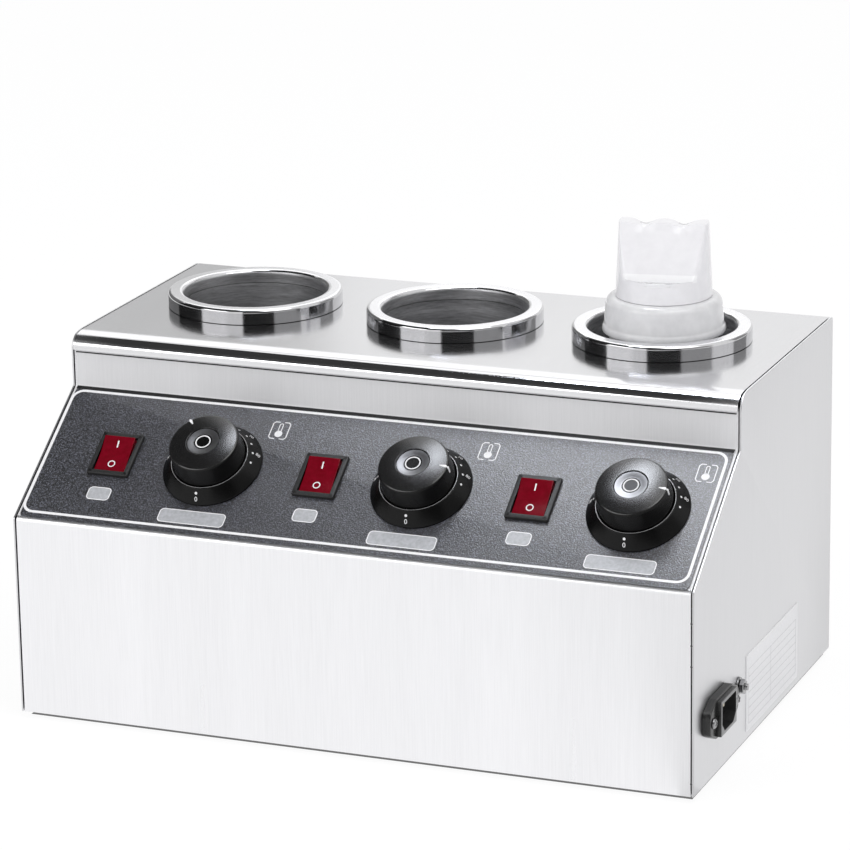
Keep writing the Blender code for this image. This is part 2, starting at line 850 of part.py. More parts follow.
def make_label():
    low = (right_x + gap, front_y + label_front, floor_z + label_low)
    high = (right_x + gap + label_thickness, low[1] + label_length, low[2] + label_height)
    box("rating_label", low, high, paper)


def make_wiring():
    """A terminal block on the base and the loom from it to the three switches."""
    low_z = floor_z + sheet + gap
    x, y = mid_x + terminal_x, front_y + terminal_y
    low = (x - terminal_length / 2, y - terminal_width / 2, low_z)
    high = (x + terminal_length / 2, y + terminal_width / 2, low_z + terminal_height)
    box("terminal_block", low, high, nylon)
    frame = slope_matrix()
    under = -switch_body_depth - gap
    tails = [frame @ Vector((sx, control_line, under)) for sx in switch_xs]
    turns = [frame @ Vector((sx, control_line, under - loom_drop)) for sx in switch_xs]
    trunk_y, trunk_z = turns[0].y, turns[0].z
    route = [Vector((x, y, high[2] + gap)), Vector((x, y, trunk_z - loom_drop))]
    route += [Vector((x, trunk_y, trunk_z)), turns[0], tails[0]]
    loom = tube("wiring_loom", route, wire_radius, wire_cover)
    for number, (turn, tail) in enumerate(zip(turns[1:], tails[1:])):
        join(loom, tube(f"loom_branch_{number}", [turn, tail], wire_radius, None))


def make_bottle(x):
    """The squeeze bottle in the right well, its screw cap with the nozzle, and the hood over the nozzle."""
    foot = well_floor_height + gap
    shoulder_top = body_height + cap_low - gap
    neck_top = body_height + cap_low + cap_height - cap_wall - gap
    wall = bottle_wall
    body_top = shoulder_top - shoulder_height
    outline = [
        (0, foot),
        (bottle_radius - bottle_floor_round, foot),
        (bottle_radius, foot + bottle_floor_round),
        (bottle_radius, body_top),
        (neck_radius, shoulder_top),
        (neck_radius, neck_top),
        (neck_radius - wall, neck_top),
        (neck_radius - wall, shoulder_top - wall),
        (bottle_radius - wall, body_top - wall),
        (bottle_radius - wall, foot + bottle_floor_round),
        (bottle_radius - bottle_floor_round, foot + wall),
        (0, foot + wall),
    ]
    place = (x + bottle_shift, well_world_y, floor_z)
    put(turned("bottle", outline, milky), *place)

    low = body_height + cap_low
    high = low + cap_height
    inner = neck_radius + gap
    ceiling = neck_top + gap
    nozzle_top = high + nozzle_height
    cap = [
        (cap_bead_radius, low),
        (cap_bead_radius, low + cap_bead_height / 2),
        (cap_radius, low + cap_bead_height),
        (cap_top_radius, high - cap_round),
        (cap_top_radius - cap_round, high),
        (nozzle_foot_radius, high),
        (nozzle_tip_radius, nozzle_top),
        (nozzle_bore, nozzle_top),
        (nozzle_bore, ceiling),
        (inner, ceiling),
        (inner, low),
    ]
    put(turned("bottle_cap", cap, milky), *place)
    make_hood(place, high + gap)


def hood_section(half_width, flat, side_points=7):
    """Half of one level of the hood, front to back on the right: a circle cut by two flats."""
    flat = min(flat, half_width)
    edge = math.acos(flat / half_width)
    points = []
    for step in range(side_points):
        turn = edge - math.pi / 2 + (math.pi - 2 * edge) * step / (side_points - 1)
        points.append((half_width * math.cos(turn), half_width * math.sin(turn)))
    return points


def hood_shell(name, levels, look):
    """Lofts levels of (height, half width, flat) into one closed body."""
    bm = bmesh.new()
    rows = []
    for height, half_width, flat in levels:
        right = hood_section(half_width, flat)
        points = right + [(-px, py) for px, py in right[::-1]]
        rows.append([bm.verts.new((px, py, height)) for px, py in points])
    count = len(rows[0])
    for low, high in zip(rows, rows[1:]):
        for step in range(count):
            after = (step + 1) % count
            bm.faces.new((low[step], low[after], high[after], high[step]))
    bm.faces.new(rows[0])
    bm.faces.new(rows[-1])
    return finish_object(name, bm, look, smooth=True)


def make_hood(place, low):
    """The hood over the nozzle: a round foot, two thumb flats that lean in, and a scalloped top edge."""
    high = low + hood_height
    ledge = low + hood_ledge_height
    lean = (hood_radius - hood_top_half_width) / hood_height
    at_ledge = hood_radius - lean * hood_ledge_height
    at_flat = hood_radius - lean * (hood_ledge_height + hood_ledge_drop)
    levels = [
        (low, hood_radius, hood_radius),
        (ledge, at_ledge, at_ledge),
        (ledge + hood_ledge_drop, at_flat, hood_flat_low),
        (high, hood_top_half_width, hood_flat_high),
    ]
    wall = hood_wall
    inside = [
        (low - overrun, hood_radius - wall, hood_radius - wall),
        (ledge, at_ledge - wall, at_ledge - wall),
        (ledge + hood_ledge_drop - wall, at_flat - wall, hood_flat_low - wall),
        (high - hood_scallop - wall, hood_top_half_width - wall, hood_flat_high - wall),
    ]
    hood = hood_shell("nozzle_hood", levels, milky)
    put(hood, *place)
    hollow = hood_shell("hood_hollow", inside, None)
    cut(hood, put(hollow, *place))
    parts = [hood, hollow]
    for way in (-1, 1):
        centre_z = high - hood_scallop + hood_scallop_radius
        notch = prism(
            f"hood_scallop_{way}",
            circle(hood_scallop_radius, small_segments, way * hood_scallop_spread, centre_z),
            -hood_radius,
            hood_radius,
            None,
            along="y",
        )
        cut(hood, put(notch, *place))
        parts.append(notch)
    for part in parts:
        part.rotation_euler = (0, 0, math.radians(hood_turn))


make_front_panel()
make_top_cover()
make_rear_panel()
make_base()
make_side_panel("left_side_panel", left_x, 1)
right_panel = make_side_panel("right_side_panel", right_x, -1)
make_overlay()
for index in range(len(well_xs)):
    make_well(index + 1, well_xs[index])
    make_control(index + 1, knob_xs[index], pointer_angles[index])
    make_switch(index + 1, switch_xs[index])
    make_sensor(index + 1, well_xs[index], knob_xs[index])
make_inlet(right_panel)
make_earth_stud(right_panel)
make_label()
make_wiring()
make_bottle(well_xs[-1])
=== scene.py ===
import math

import bmesh
import bpy
from mathutils import Matrix, Vector


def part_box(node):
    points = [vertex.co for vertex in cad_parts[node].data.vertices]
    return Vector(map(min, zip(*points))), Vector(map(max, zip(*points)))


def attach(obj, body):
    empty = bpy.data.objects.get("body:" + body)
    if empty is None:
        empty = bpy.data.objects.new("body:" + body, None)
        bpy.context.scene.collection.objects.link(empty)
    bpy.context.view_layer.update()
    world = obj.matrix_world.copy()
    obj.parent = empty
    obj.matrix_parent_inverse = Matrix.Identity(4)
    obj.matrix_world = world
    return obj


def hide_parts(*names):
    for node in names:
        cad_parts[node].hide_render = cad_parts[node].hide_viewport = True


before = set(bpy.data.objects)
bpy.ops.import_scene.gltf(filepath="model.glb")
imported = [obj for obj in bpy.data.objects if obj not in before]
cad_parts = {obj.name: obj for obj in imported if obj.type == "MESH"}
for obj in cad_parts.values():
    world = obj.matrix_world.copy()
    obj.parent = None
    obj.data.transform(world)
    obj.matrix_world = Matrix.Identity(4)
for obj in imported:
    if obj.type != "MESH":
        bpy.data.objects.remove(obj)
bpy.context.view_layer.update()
print("frame loaded:", len(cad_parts), "nodes")

sides = ("left", "middle", "right")
body = {"front": -0.1264, "floor": 0.004, "top": 0.2047, "midX": -0.00375}
panel = {
    "foot": 0.1187,         # height of the bend at the foot of the slope
    "run": 0.0804,
    "rise": 0.0553,
    "controlLine": 0.0500,  # up the slope, where knobs and switches sit
    "filmTop": 0.0007,      # top of the printed film above the sheet
}
slopeAngle = math.atan2(panel["rise"], panel["run"])
slope = Matrix.Translation((0, body["front"], panel["foot"])) @ Matrix.Rotation(slopeAngle, 4, "X")


def centreOf(node):
    low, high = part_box(node)
    return (low + high) / 2


# Shader building blocks

def addNode(tree, kind, settings=None, **sockets):
    node = tree.nodes.new("ShaderNode" + kind)
    for name, value in (settings or {}).items():
        setattr(node, name, value)
    for name, value in sockets.items():
        wanted = name.replace("_", " ")
        socket = next(s for s in node.inputs if s.name == wanted and s.enabled)
        if isinstance(value, bpy.types.NodeSocket):
            tree.links.new(value, socket)
        else:
            socket.default_value = value
    return node


def newGroup(name, inputs, outputs):
    group = bpy.data.node_groups.new(name, "ShaderNodeTree")
    for label, kind, value in inputs:
        socket = group.interface.new_socket(label, in_out="INPUT", socket_type=kind)
        if value is not None:
            socket.default_value = value
    for label, kind in outputs:
        group.interface.new_socket(label, in_out="OUTPUT", socket_type=kind)
    return group, group.nodes.new("NodeGroupInput"), group.nodes.new("NodeGroupOutput")


def makeGrainGroup():
    # Fine lines drawn out along one direction, and broad soft smudges of the same metal
    group, start, end = newGroup(
        "brushedGrain",
        [("Vector", "NodeSocketVector", None), ("Stretch", "NodeSocketVector", (1, 1, 1)),
         ("Lines", "NodeSocketFloat", 900.0), ("Smudges", "NodeSocketFloat", 14.0)],
        [("Lines", "NodeSocketFloat"), ("Smudges", "NodeSocketFloat")],
    )
    pulled = addNode(group, "VectorMath", {"operation": "MULTIPLY"})
    group.links.new(start.outputs["Vector"], pulled.inputs[0])
    group.links.new(start.outputs["Stretch"], pulled.inputs[1])
    lines = addNode(group, "TexNoise", Vector=pulled.outputs[0], Scale=start.outputs["Lines"],
                    Detail=3.0, Roughness=0.7)
    smudges = addNode(group, "TexNoise", Vector=pulled.outputs[0], Scale=start.outputs["Smudges"],
                      Detail=2.0, Roughness=0.5)
    group.links.new(lines.outputs["Fac"], end.inputs["Lines"])
    group.links.new(smudges.outputs["Fac"], end.inputs["Smudges"])
    return group


def makeSpeckGroup():
    # Small specks over a slow drift, for moulded plastic, flaked paint and dusty hidden parts
    group, start, end = newGroup(
        "speckle",
        [("Vector", "NodeSocketVector", None), ("Specks", "NodeSocketFloat", 900.0),
         ("Drift", "NodeSocketFloat", 25.0)],
        [("Specks", "NodeSocketFloat"), ("Drift", "NodeSocketFloat")],
    )
    specks = addNode(group, "TexNoise", Vector=start.outputs["Vector"], Scale=start.outputs["Specks"],
                     Detail=2.0, Roughness=0.6)
    drift = addNode(group, "TexNoise", Vector=start.outputs["Vector"], Scale=start.outputs["Drift"],
                    Detail=3.0, Roughness=0.5)
    group.links.new(specks.outputs["Fac"], end.inputs["Specks"])
    group.links.new(drift.outputs["Fac"], end.inputs["Drift"])
    return group


brushedGrain = makeGrainGroup()
speckle = makeSpeckGroup()


def ramp(tree, value, low, high, start=0.3, end=0.7):
    # A grey or coloured ramp between two colours
    node = addNode(tree, "ValToRGB", Fac=value)
    node.color_ramp.elements[0].position = start
    node.color_ramp.elements[1].position = end
    node.color_ramp.elements[0].color = (*low, 1)
    node.color_ramp.elements[1].color = (*high, 1)
    return node.outputs["Color"]


def spread(tree, value, low, high):
    return addNode(tree, "MapRange", Value=value, From_Min=0.25, From_Max=0.75,
                   To_Min=low, To_Max=high).outputs["Result"]


def newFinish(name):
    made = bpy.data.materials.new(name)
    made.use_nodes = True
    tree = made.node_tree
    shader = tree.nodes["Principled BSDF"]
    place = addNode(tree, "TexCoord").outputs["Object"]
    return made, tree, shader, place


def metalFinish(name, dark, light, rough, stretch, lines=900.0, smudges=14.0, bump=0.02,
                metallic=1.0, lineShare=0.5):
    made, tree, shader, place = newFinish(name)
    grain = addNode(tree, "Group", {"node_tree": brushedGrain}, Vector=place, Stretch=stretch,
                    Lines=lines, Smudges=smudges)
    both = addNode(tree, "Mix", {"data_type": "FLOAT"})
    both.inputs[0].default_value = lineShare
    tree.links.new(grain.outputs["Smudges"], both.inputs[2])
    tree.links.new(grain.outputs["Lines"], both.inputs[3])
    tree.links.new(ramp(tree, both.outputs[0], dark, light), shader.inputs["Base Color"])
    tree.links.new(spread(tree, grain.outputs["Smudges"], *rough), shader.inputs["Roughness"])
    dents = addNode(tree, "Bump", Strength=bump, Distance=0.0002, Height=grain.outputs["Lines"])
    tree.links.new(dents.outputs["Normal"], shader.inputs["Normal"])
    shader.inputs["Metallic"].default_value = metallic
    return made


def roughenEnds(made, near, far, rough):
    # The polish of a long piece fades towards both of its ends
    tree = made.node_tree
    roughness = tree.nodes["Principled BSDF"].inputs["Roughness"]
    split = addNode(tree, "SeparateXYZ", Vector=addNode(tree, "TexCoord").outputs["Object"])
    shifted = addNode(tree, "Math", {"operation": "SUBTRACT"}, Value=split.outputs["X"])
    shifted.inputs[1].default_value = body["midX"]
    reach = addNode(tree, "Math", {"operation": "ABSOLUTE"}, Value=shifted.outputs[0])
    fade = addNode(tree, "MapRange", Value=reach.outputs[0], From_Min=near, From_Max=far, To_Min=0.0, To_Max=rough)
    total = addNode(tree, "Math", {"operation": "ADD"}, Value=roughness.links[0].from_socket)
    tree.links.new(fade.outputs["Result"], total.inputs[1])
    tree.links.new(total.outputs[0], roughness)


def plasticFinish(name, dark, light, rough, specks=900.0, drift=25.0, bump=0.05, coat=0.0,
                  shine=0.5, ior=1.5, start=0.3, end=0.7, deep=0.0001):
    made, tree, shader, place = newFinish(name)
    mottle = addNode(tree, "Group", {"node_tree": speckle}, Vector=place, Specks=specks, Drift=drift)
    tree.links.new(ramp(tree, mottle.outputs["Specks"], dark, light, start, end), shader.inputs["Base Color"])
    tree.links.new(spread(tree, mottle.outputs["Drift"], *rough), shader.inputs["Roughness"])
    dents = addNode(tree, "Bump", Strength=bump, Distance=deep, Height=mottle.outputs["Specks"])
    tree.links.new(dents.outputs["Normal"], shader.inputs["Normal"])
    shader.inputs["Specular IOR Level"].default_value = shine
    shader.inputs["IOR"].default_value = ior
    shader.inputs["Coat Weight"].default_value = coat
    return made


def grey(value):
    return (value, value, value * 1.02)


steelUpright = metalFinish("steelUprightGrain", grey(0.83), grey(0.93), (0.24, 0.36), (1, 0.02, 0.02),
                           lines=1500.0, smudges=18.0)
# painted shade: the front sheet's slope and riser take a darker, less metallic copy of its steel
steelRiserShaded = metalFinish("steelRiserShadedGrain", grey(0.66), grey(0.75), (0.34, 0.44), (1, 0.02, 0.02),
                         lines=1700.0, smudges=18.0, metallic=0.08)
steelPlate = metalFinish("steelPlateGrain", grey(0.68), grey(0.75), (0.12, 0.18), (1, 0.03, 1),
                         lines=1300.0, smudges=10.0)
steelNose = metalFinish("steelNose", grey(0.72), grey(0.80), (0.06, 0.10), (0.03, 1, 1), lines=900.0, bump=0.006)
steelSide = metalFinish("steelSatinSide", grey(0.66), grey(0.71), (0.34, 0.42), (1, 1, 0.03), lines=1200.0)
steelPolished = metalFinish("steelPolished", grey(0.56), grey(0.64), (0.05, 0.10), (1, 1, 0.2),
                            lines=500.0, bump=0.004)
steelRingTopLit = metalFinish("steelRingTopLit", grey(0.87), grey(0.94), (0.16, 0.24), (1, 1, 1), lines=900.0,
                           bump=0.01)
roughenEnds(steelNose, 0.165, 0.200, 0.16)
steelWell = metalFinish("steelWellWall", grey(0.36), grey(0.82), (0.38, 0.48), (1, 1, 9), lines=110.0,
                        smudges=22.0, bump=0.06, lineShare=0.60)
chromeBright = metalFinish("chromeBright", grey(0.86), grey(0.90), (0.06, 0.10), (1, 1, 1), lines=400.0,
                           bump=0.003)
tackMetal = metalFinish("tackMetal", grey(0.08), grey(0.16), (0.35, 0.50), (1, 1, 1))
steelScrew = metalFinish("steelScrew", grey(0.22), grey(0.38), (0.10, 0.18), (1, 1, 1), lines=700.0)
chromeDish = metalFinish("chromeDish", grey(0.17), grey(0.23), (0.30, 0.38), (1, 1, 1), lines=400.0, bump=0.003)
brassNickelled = metalFinish("brassNickelled", (0.60, 0.56, 0.46), (0.74, 0.70, 0.60), (0.22, 0.34),
                             (1, 1, 0.1))
filmCharcoal = plasticFinish("filmCharcoal", (0.001, 0.001, 0.003), (0.112, 0.118, 0.152), (0.30, 0.36), specks=1300.0,
                             drift=18.0, shine=1.0, ior=1.75, bump=1.0, start=0.49, end=0.62, deep=0.0003)
inkWhite = plasticFinish("inkWhite", grey(0.78), grey(0.88), (0.40, 0.55), specks=600.0)
inkPatch = plasticFinish("inkPatch", (0.36, 0.37, 0.39), (0.46, 0.47, 0.50), (0.35, 0.50), specks=500.0, drift=60.0)
blackCone = plasticFinish("blackCone", grey(0.001), grey(0.012), (0.20, 0.26), specks=1300.0, bump=0.5,
                          shine=0.8, ior=1.55)
blackKnob = plasticFinish("blackKnob", grey(0.001), grey(0.004), (0.22, 0.30), specks=1500.0, bump=0.05, shine=0.22)
blackSatin = plasticFinish("blackSatin", grey(0.001), grey(0.004), (0.22, 0.30), specks=1300.0, bump=0.04, shine=0.20)
rimHighlightGrey = plasticFinish("rimHighlightGrey", grey(0.150), grey(0.210), (0.25, 0.35), specks=1300.0, bump=0.05)
inletGrey = plasticFinish("inletGrey", grey(0.008), grey(0.018), (0.20, 0.28), specks=1300.0, bump=0.05, shine=0.6)
blackBezel = plasticFinish("blackBezel", grey(0.012), grey(0.030), (0.36, 0.48), specks=1400.0, bump=0.10, shine=0.4)
redRocker = plasticFinish("redRocker", (0.140, 0.0003, 0.006), (0.182, 0.0008, 0.010), (0.14, 0.22), specks=300.0,
                          drift=80.0, bump=0.01, shine=0.22)
milkyPlastic = plasticFinish("milkyPlastic", (0.66, 0.66, 0.675), (0.72, 0.72, 0.735), (0.12, 0.18), specks=160.0,
                             drift=40.0, bump=0.01)
hoodPlastic = plasticFinish("hoodPlastic", (0.79, 0.785, 0.81), (0.83, 0.825, 0.85), (0.14, 0.20), specks=160.0,
                            drift=40.0, bump=0.01)
# painted shade and painted highlight for the hood's ledge and its rims
hoodLedgeShade = plasticFinish("hoodLedgeShade", grey(0.60), grey(0.66), (0.14, 0.20), specks=160.0, drift=40.0, bump=0.01)
hoodRimHighlight = plasticFinish("hoodRimHighlight", grey(0.86), grey(0.90), (0.10, 0.16), specks=160.0, drift=40.0, bump=0.01)
labelFilm = plasticFinish("labelFilm", grey(0.80), grey(0.86), (0.35, 0.45), specks=700.0, bump=0.02)
labelRule = plasticFinish("labelRule", grey(0.56), grey(0.64), (0.45, 0.55), specks=700.0, bump=0.02)
rubberFoot = plasticFinish("rubberFoot", grey(0.015), grey(0.035), (0.65, 0.80), specks=1200.0, bump=0.15)
micaWrap = plasticFinish("micaWrap", (0.32, 0.29, 0.23), (0.50, 0.46, 0.38), (0.40, 0.60), specks=260.0)
bakeliteBrown = plasticFinish("bakeliteBrown", (0.11, 0.055, 0.030), (0.19, 0.11, 0.065), (0.35, 0.50), specks=500.0)
nylonBlock = plasticFinish("nylonBlock", (0.72, 0.70, 0.64), (0.82, 0.80, 0.75), (0.40, 0.52), specks=500.0)
wireSleeve = plasticFinish("wireSleeve", (0.62, 0.60, 0.54), (0.76, 0.74, 0.68), (0.50, 0.62), specks=1600.0, bump=0.2)
dialRimHighlight = plasticFinish("dialRimHighlight", grey(0.30), grey(0.42), (0.12, 0.18), specks=900.0, bump=0.01, shine=1.0)
# a near-black finish used as painted shade: the strips under the flange and along the film's fold, the bezels' sides
# and pockets, the inlet's socket and the screw heads' crosses
shadeBlack = plasticFinish("shadeBlack", grey(0.004), grey(0.010), (0.45, 0.60), specks=900.0)
print("finishes made")


# Mesh building blocks

def roundCorners(bm, corners):
    for vert, radius in corners:
        if radius:
            bmesh.ops.bevel(bm, geom=[vert], offset=radius, offset_type="OFFSET", affect="VERTICES",
                            segments=6, profile=0.5, material=-1)


def holdFlats(bm, hold):
    # Splits long runs close to their ends, so that smooth shading stays flat between rounded corners
    for edge in bm.edges[:]:
        if edge.calc_length() > 4 * hold:
            near, far = edge.verts
            whole = edge.calc_length()
            rest = bmesh.utils.edge_split(edge, near, hold / whole)[0]
            run = edge if far in edge.verts else rest
            bmesh.utils.edge_split(run, far, hold / run.calc_length())


def wire(points, across="xz", closed=False):
    # A bent line through (a, b) or (a, b, corner radius), in the plane named
    axes = ["xyz".index(letter) for letter in across]
    bm = bmesh.new()
    corners = []
    for point in points:
        place = [0.0, 0.0, 0.0]
        place[axes[0]], place[axes[1]] = point[0], point[1]
        corners.append((bm.verts.new(place), point[2] if len(point) > 2 else 0))
    verts = [vert for vert, _ in corners]
    for a, b in zip(verts, verts[1:] + verts[:1] if closed else verts[1:]):
        bm.edges.new((a, b))
    roundCorners(bm, corners)
    return bm


def weld(bm):
    bmesh.ops.remove_doubles(bm, verts=bm.verts, dist=1e-6)
    bmesh.ops.recalc_face_normals(bm, faces=bm.faces)


def turned(points, steps=96, closed=False, hold=0.0):
    bm = wire(points, closed=closed)
    if hold:
        holdFlats(bm, hold)
    bmesh.ops.spin(bm, geom=bm.verts[:] + bm.edges[:], cent=(0, 0, 0), axis=(0, 0, 1),
                   angle=math.tau, steps=steps, use_merge=True)
    weld(bm)
    return bm


def plate(points, low, high, edge=0.0, across="xy"):
    # A flat outline, (a, b) or (a, b, corner radius), raised from low to high with softened edges
    axes = ["xyz".index(letter) for letter in across]
    third = 3 - sum(axes)
    bm = bmesh.new()
    corners = []
    for point in points:
        place = [0.0, 0.0, 0.0]
        place[axes[0]], place[axes[1]], place[third] = point[0], point[1], low
        corners.append((bm.verts.new(place), point[2] if len(point) > 2 else 0))
    bm.faces.new([vert for vert, _ in corners])
    roundCorners(bm, corners)
    grown = bmesh.ops.extrude_face_region(bm, geom=bm.faces[:])
    rise = [0.0, 0.0, 0.0]
    rise[third] = high - low
    top = [item for item in grown["geom"] if isinstance(item, bmesh.types.BMVert)]
    bmesh.ops.translate(bm, verts=top, vec=rise)
    bmesh.ops.recalc_face_normals(bm, faces=bm.faces)
    if edge:
        rim = [e for e in bm.edges if all(v in set(top) for v in e.verts)]
        bmesh.ops.bevel(bm, geom=rim, offset=edge, offset_type="OFFSET", affect="EDGES",
                        segments=3, profile=0.5, material=-1)
    return bm


def box4(width, height, radius=0.0, midA=0.0, midB=0.0):
    a, b = width / 2, height / 2
    return [(midA + s * a, midB + t * b, radius) for s, t in ((-1, -1), (1, -1), (1, 1), (-1, 1))]


def moved(bm, matrix):
    bmesh.ops.transform(bm, matrix=matrix, verts=bm.verts)
    return bm


def added(bm, other, finish=None):
    # Puts another bmesh into this one, with its own material number
    spare = bpy.data.meshes.new("spare")
    if finish is not None:
        for face in other.faces:
            face.material_index = finish
    other.to_mesh(spare)
    other.free()
    bm.from_mesh(spare)
    bpy.data.meshes.remove(spare)
    return bm


def piece(name, bm, finishes, rides, stands=(), angle=32.0):
    mesh = bpy.data.meshes.new(name)
    bm.to_mesh(mesh)
    bm.free()
    for finish in finishes if isinstance(finishes, (list, tuple)) else [finishes]:
        mesh.materials.append(finish)
    mesh.shade_smooth()
    mesh.set_sharp_from_angle(angle=math.radians(angle))
    made = bpy.data.objects.new(name, mesh)
    bpy.context.scene.collection.objects.link(made)
    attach(made, rides)
    if stands:
        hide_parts(*stands)
    return made


def sheetWall(bm, thick):
    # Gives a sheet its thickness on the side away from its normals
    bmesh.ops.solidify(bm, geom=bm.faces[:], thickness=thick)
    bmesh.ops.recalc_face_normals(bm, faces=bm.faces)
    return bm


def softEdges(made, width, segments=2, limit=40.0):
    bevel = made.modifiers.new("softEdges", "BEVEL")
    bevel.width = width
    bevel.segments = segments
    bevel.limit_method = "ANGLE"
    bevel.angle_limit = math.radians(limit)
    bevel.harden_normals = False
    return made


def wordMesh(word, height, thickness):
    # A word as a thin solid, centred, lying in the xy plane
    curve = bpy.data.curves.new("word", "FONT")
    curve.body = word
    curve.size = height / 0.7
    curve.align_x = "CENTER"
    curve.align_y = "CENTER"
    curve.extrude = thickness / 2
    curve.resolution_u = 4
    holder = bpy.data.objects.new("word", curve)
    bpy.context.scene.collection.objects.link(holder)
    bpy.context.view_layer.update()
    mesh = bpy.data.meshes.new_from_object(holder.evaluated_get(bpy.context.evaluated_depsgraph_get()))
    bm = bmesh.new()
    bm.from_mesh(mesh)
    bpy.data.objects.remove(holder)
    bpy.data.curves.remove(curve)
    bpy.data.meshes.remove(mesh)
    bmesh.ops.remove_doubles(bm, verts=bm.verts, dist=1e-6)
    return bm


# Cabinet sheets
sheetMetal = {"thick": 0.0010, "footBend": 0.0022, "headBend": 0.0016, "noseRadius": 0.0080, "flangeDrop": 0.0003,
              "rearBend": 0.0020, "rearDrop": 0.0100, "sideEdge": 0.00035, "holeRadius": 0.04325, "perSide": 24,
              "crown": 0.0080, "crownTilt": 12.0, "crownSteps": 6, "rearFlat": 0.0010, "flangeShadowHeight": 0.0007}


seamTacks = {"heights": (0.1016, 0.0893, 0.0776, 0.0114), "radius": 0.0008, "flat": 0.00005, "inset": 0.0003}


def makeFrontSheet():
    low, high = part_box("front_panel")
    headY = body["front"] + panel["run"]
    frontY = low.y + seamTacks["flat"]
    path = [
        (frontY, low.z),
        (frontY, panel["foot"], sheetMetal["footBend"]),
        (headY, panel["foot"] + panel["rise"], sheetMetal["headBend"]),
        (headY, high.z),
    ]
    bm = wire(path, "yz")
    grown = bmesh.ops.extrude_edge_only(bm, edges=bm.edges[:])
    far = [item for item in grown["geom"] if isinstance(item, bmesh.types.BMVert)]
    bmesh.ops.translate(bm, verts=far, vec=(high.x - low.x, 0, 0))
    bmesh.ops.translate(bm, verts=bm.verts, vec=(low.x, 0, 0))
    bmesh.ops.recalc_face_normals(bm, faces=bm.faces)
    facing = sum(face.normal.y * face.calc_area() for face in bm.faces)
    if facing > 0:
        bmesh.ops.reverse_faces(bm, faces=bm.faces)
    # painted shade: the slope and the riser take the darker copy of the steel
    for face in bm.faces:
        if face.calc_center_median().z > panel["foot"] + 0.002:
            face.material_index = 1
    made = piece("frontSheet", sheetWall(bm, sheetMetal["thick"]), [steelUpright, steelRiserShaded], "cabinet",
                 ["front_panel"], 35)
    return softEdges(made, 0.0002)


def makeTopCover():
    low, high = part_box("top_cover")
    lean = math.radians(sheetMetal["crownTilt"])
    noseY = low.y + sheetMetal["noseRadius"] * (1 - math.sin(lean))
    rearY = high.y - sheetMetal["rearBend"]
    wells = [centreOf(f"well_ring_{n}") for n in (1, 2, 3)]
    frontY, backY = noseY + sheetMetal["crown"], rearY - sheetMetal["rearFlat"]
    splits = [low.x, (wells[0].x + wells[1].x) / 2, (wells[1].x + wells[2].x) / 2, high.x]
    count = sheetMetal["perSide"]
    bm = bmesh.new()
    for number, well in enumerate(wells):
        left, right = splits[number], splits[number + 1]
        cell = bmesh.new()
        square = bmesh.ops.create_circle(cell, cap_ends=False, segments=4, radius=1.0)["verts"]
        spots = [(right, backY), (left, backY), (left, frontY), (right, frontY)]
        for vert, spot in zip(square, spots):
            vert.co = (*spot, high.z)
        bmesh.ops.subdivide_edges(cell, edges=cell.edges[:], cuts=count - 1)
        outer = cell.edges[:]
        hole = bmesh.ops.create_circle(cell, cap_ends=False, segments=4 * count, radius=sheetMetal["holeRadius"])
        spin = Matrix.Translation((well.x, well.y, high.z)) @ Matrix.Rotation(math.radians(45), 4, "Z")
        bmesh.ops.transform(cell, matrix=spin, verts=hole["verts"])
        inner = [e for e in cell.edges if e not in set(outer)]
        bmesh.ops.bridge_loops(cell, edges=outer + inner)
        added(bm, cell)
    bmesh.ops.remove_doubles(bm, verts=bm.verts, dist=1e-5)
    for start, y, away, radius, tilt, drop in (
            (frontY, noseY, -1, sheetMetal["noseRadius"], lean, sheetMetal["flangeDrop"]),
            (backY, rearY, 1, sheetMetal["rearBend"], 0.0, sheetMetal["rearDrop"] - sheetMetal["rearBend"])):
        rim = [e for e in bm.edges if all(abs(v.co.y - start) < 1e-6 for v in e.verts)]
        steps = sheetMetal["crownSteps"] if tilt else 1
        fall = abs(y - start) * math.tan(tilt) / 2
        for step in range(steps):
            strip = bmesh.ops.extrude_edge_only(bm, edges=rim)["geom"]
            ends = [item for item in strip if isinstance(item, bmesh.types.BMVert)]
            near, far = step / steps, (step + 1) / steps
            bmesh.ops.translate(bm, verts=ends, vec=(0, (y - start) / steps, -fall * (far * far - near * near)))
            rim = [item for item in strip if isinstance(item, bmesh.types.BMEdge) and all(v in set(ends) for v in item.verts)]
        pivot = (0, y - away * radius * math.sin(tilt), high.z - fall - radius * math.cos(tilt))
        rolled = bmesh.ops.spin(bm, geom=ends + rim, cent=pivot, axis=(away, 0, 0),
                                angle=tilt - math.pi / 2, steps=14, use_merge=False)
        last = [item for item in rolled["geom_last"] if isinstance(item, bmesh.types.BMEdge)]
        grown = bmesh.ops.extrude_edge_only(bm, edges=last)
        tips = [item for item in grown["geom"] if isinstance(item, bmesh.types.BMVert)]
        bmesh.ops.translate(bm, verts=tips, vec=(0, 0, -drop))
    weld(bm)
    if sum(face.normal.z * face.calc_area() for face in bm.faces) < 0:
        bmesh.ops.reverse_faces(bm, faces=bm.faces)
    for face in bm.faces:
        if face.calc_center_median().y < noseY:
            face.material_index = 1
    piece("topSheet", sheetWall(bm, sheetMetal["thick"]), [steelPlate, steelNose], "cabinet", ["top_cover"],
          35)
    # painted shadow: a dark strip on the riser just below the front flange, where the flange's shade falls
    wall = body["front"] + panel["run"]
    line = box4(high.x - low.x - 0.002, 0.0003, 0, (low.x + high.x) / 2, wall)
    piece("flangeShadowStrip", plate(line, low.z - sheetMetal["flangeShadowHeight"], low.z), shadeBlack, "cabinet")


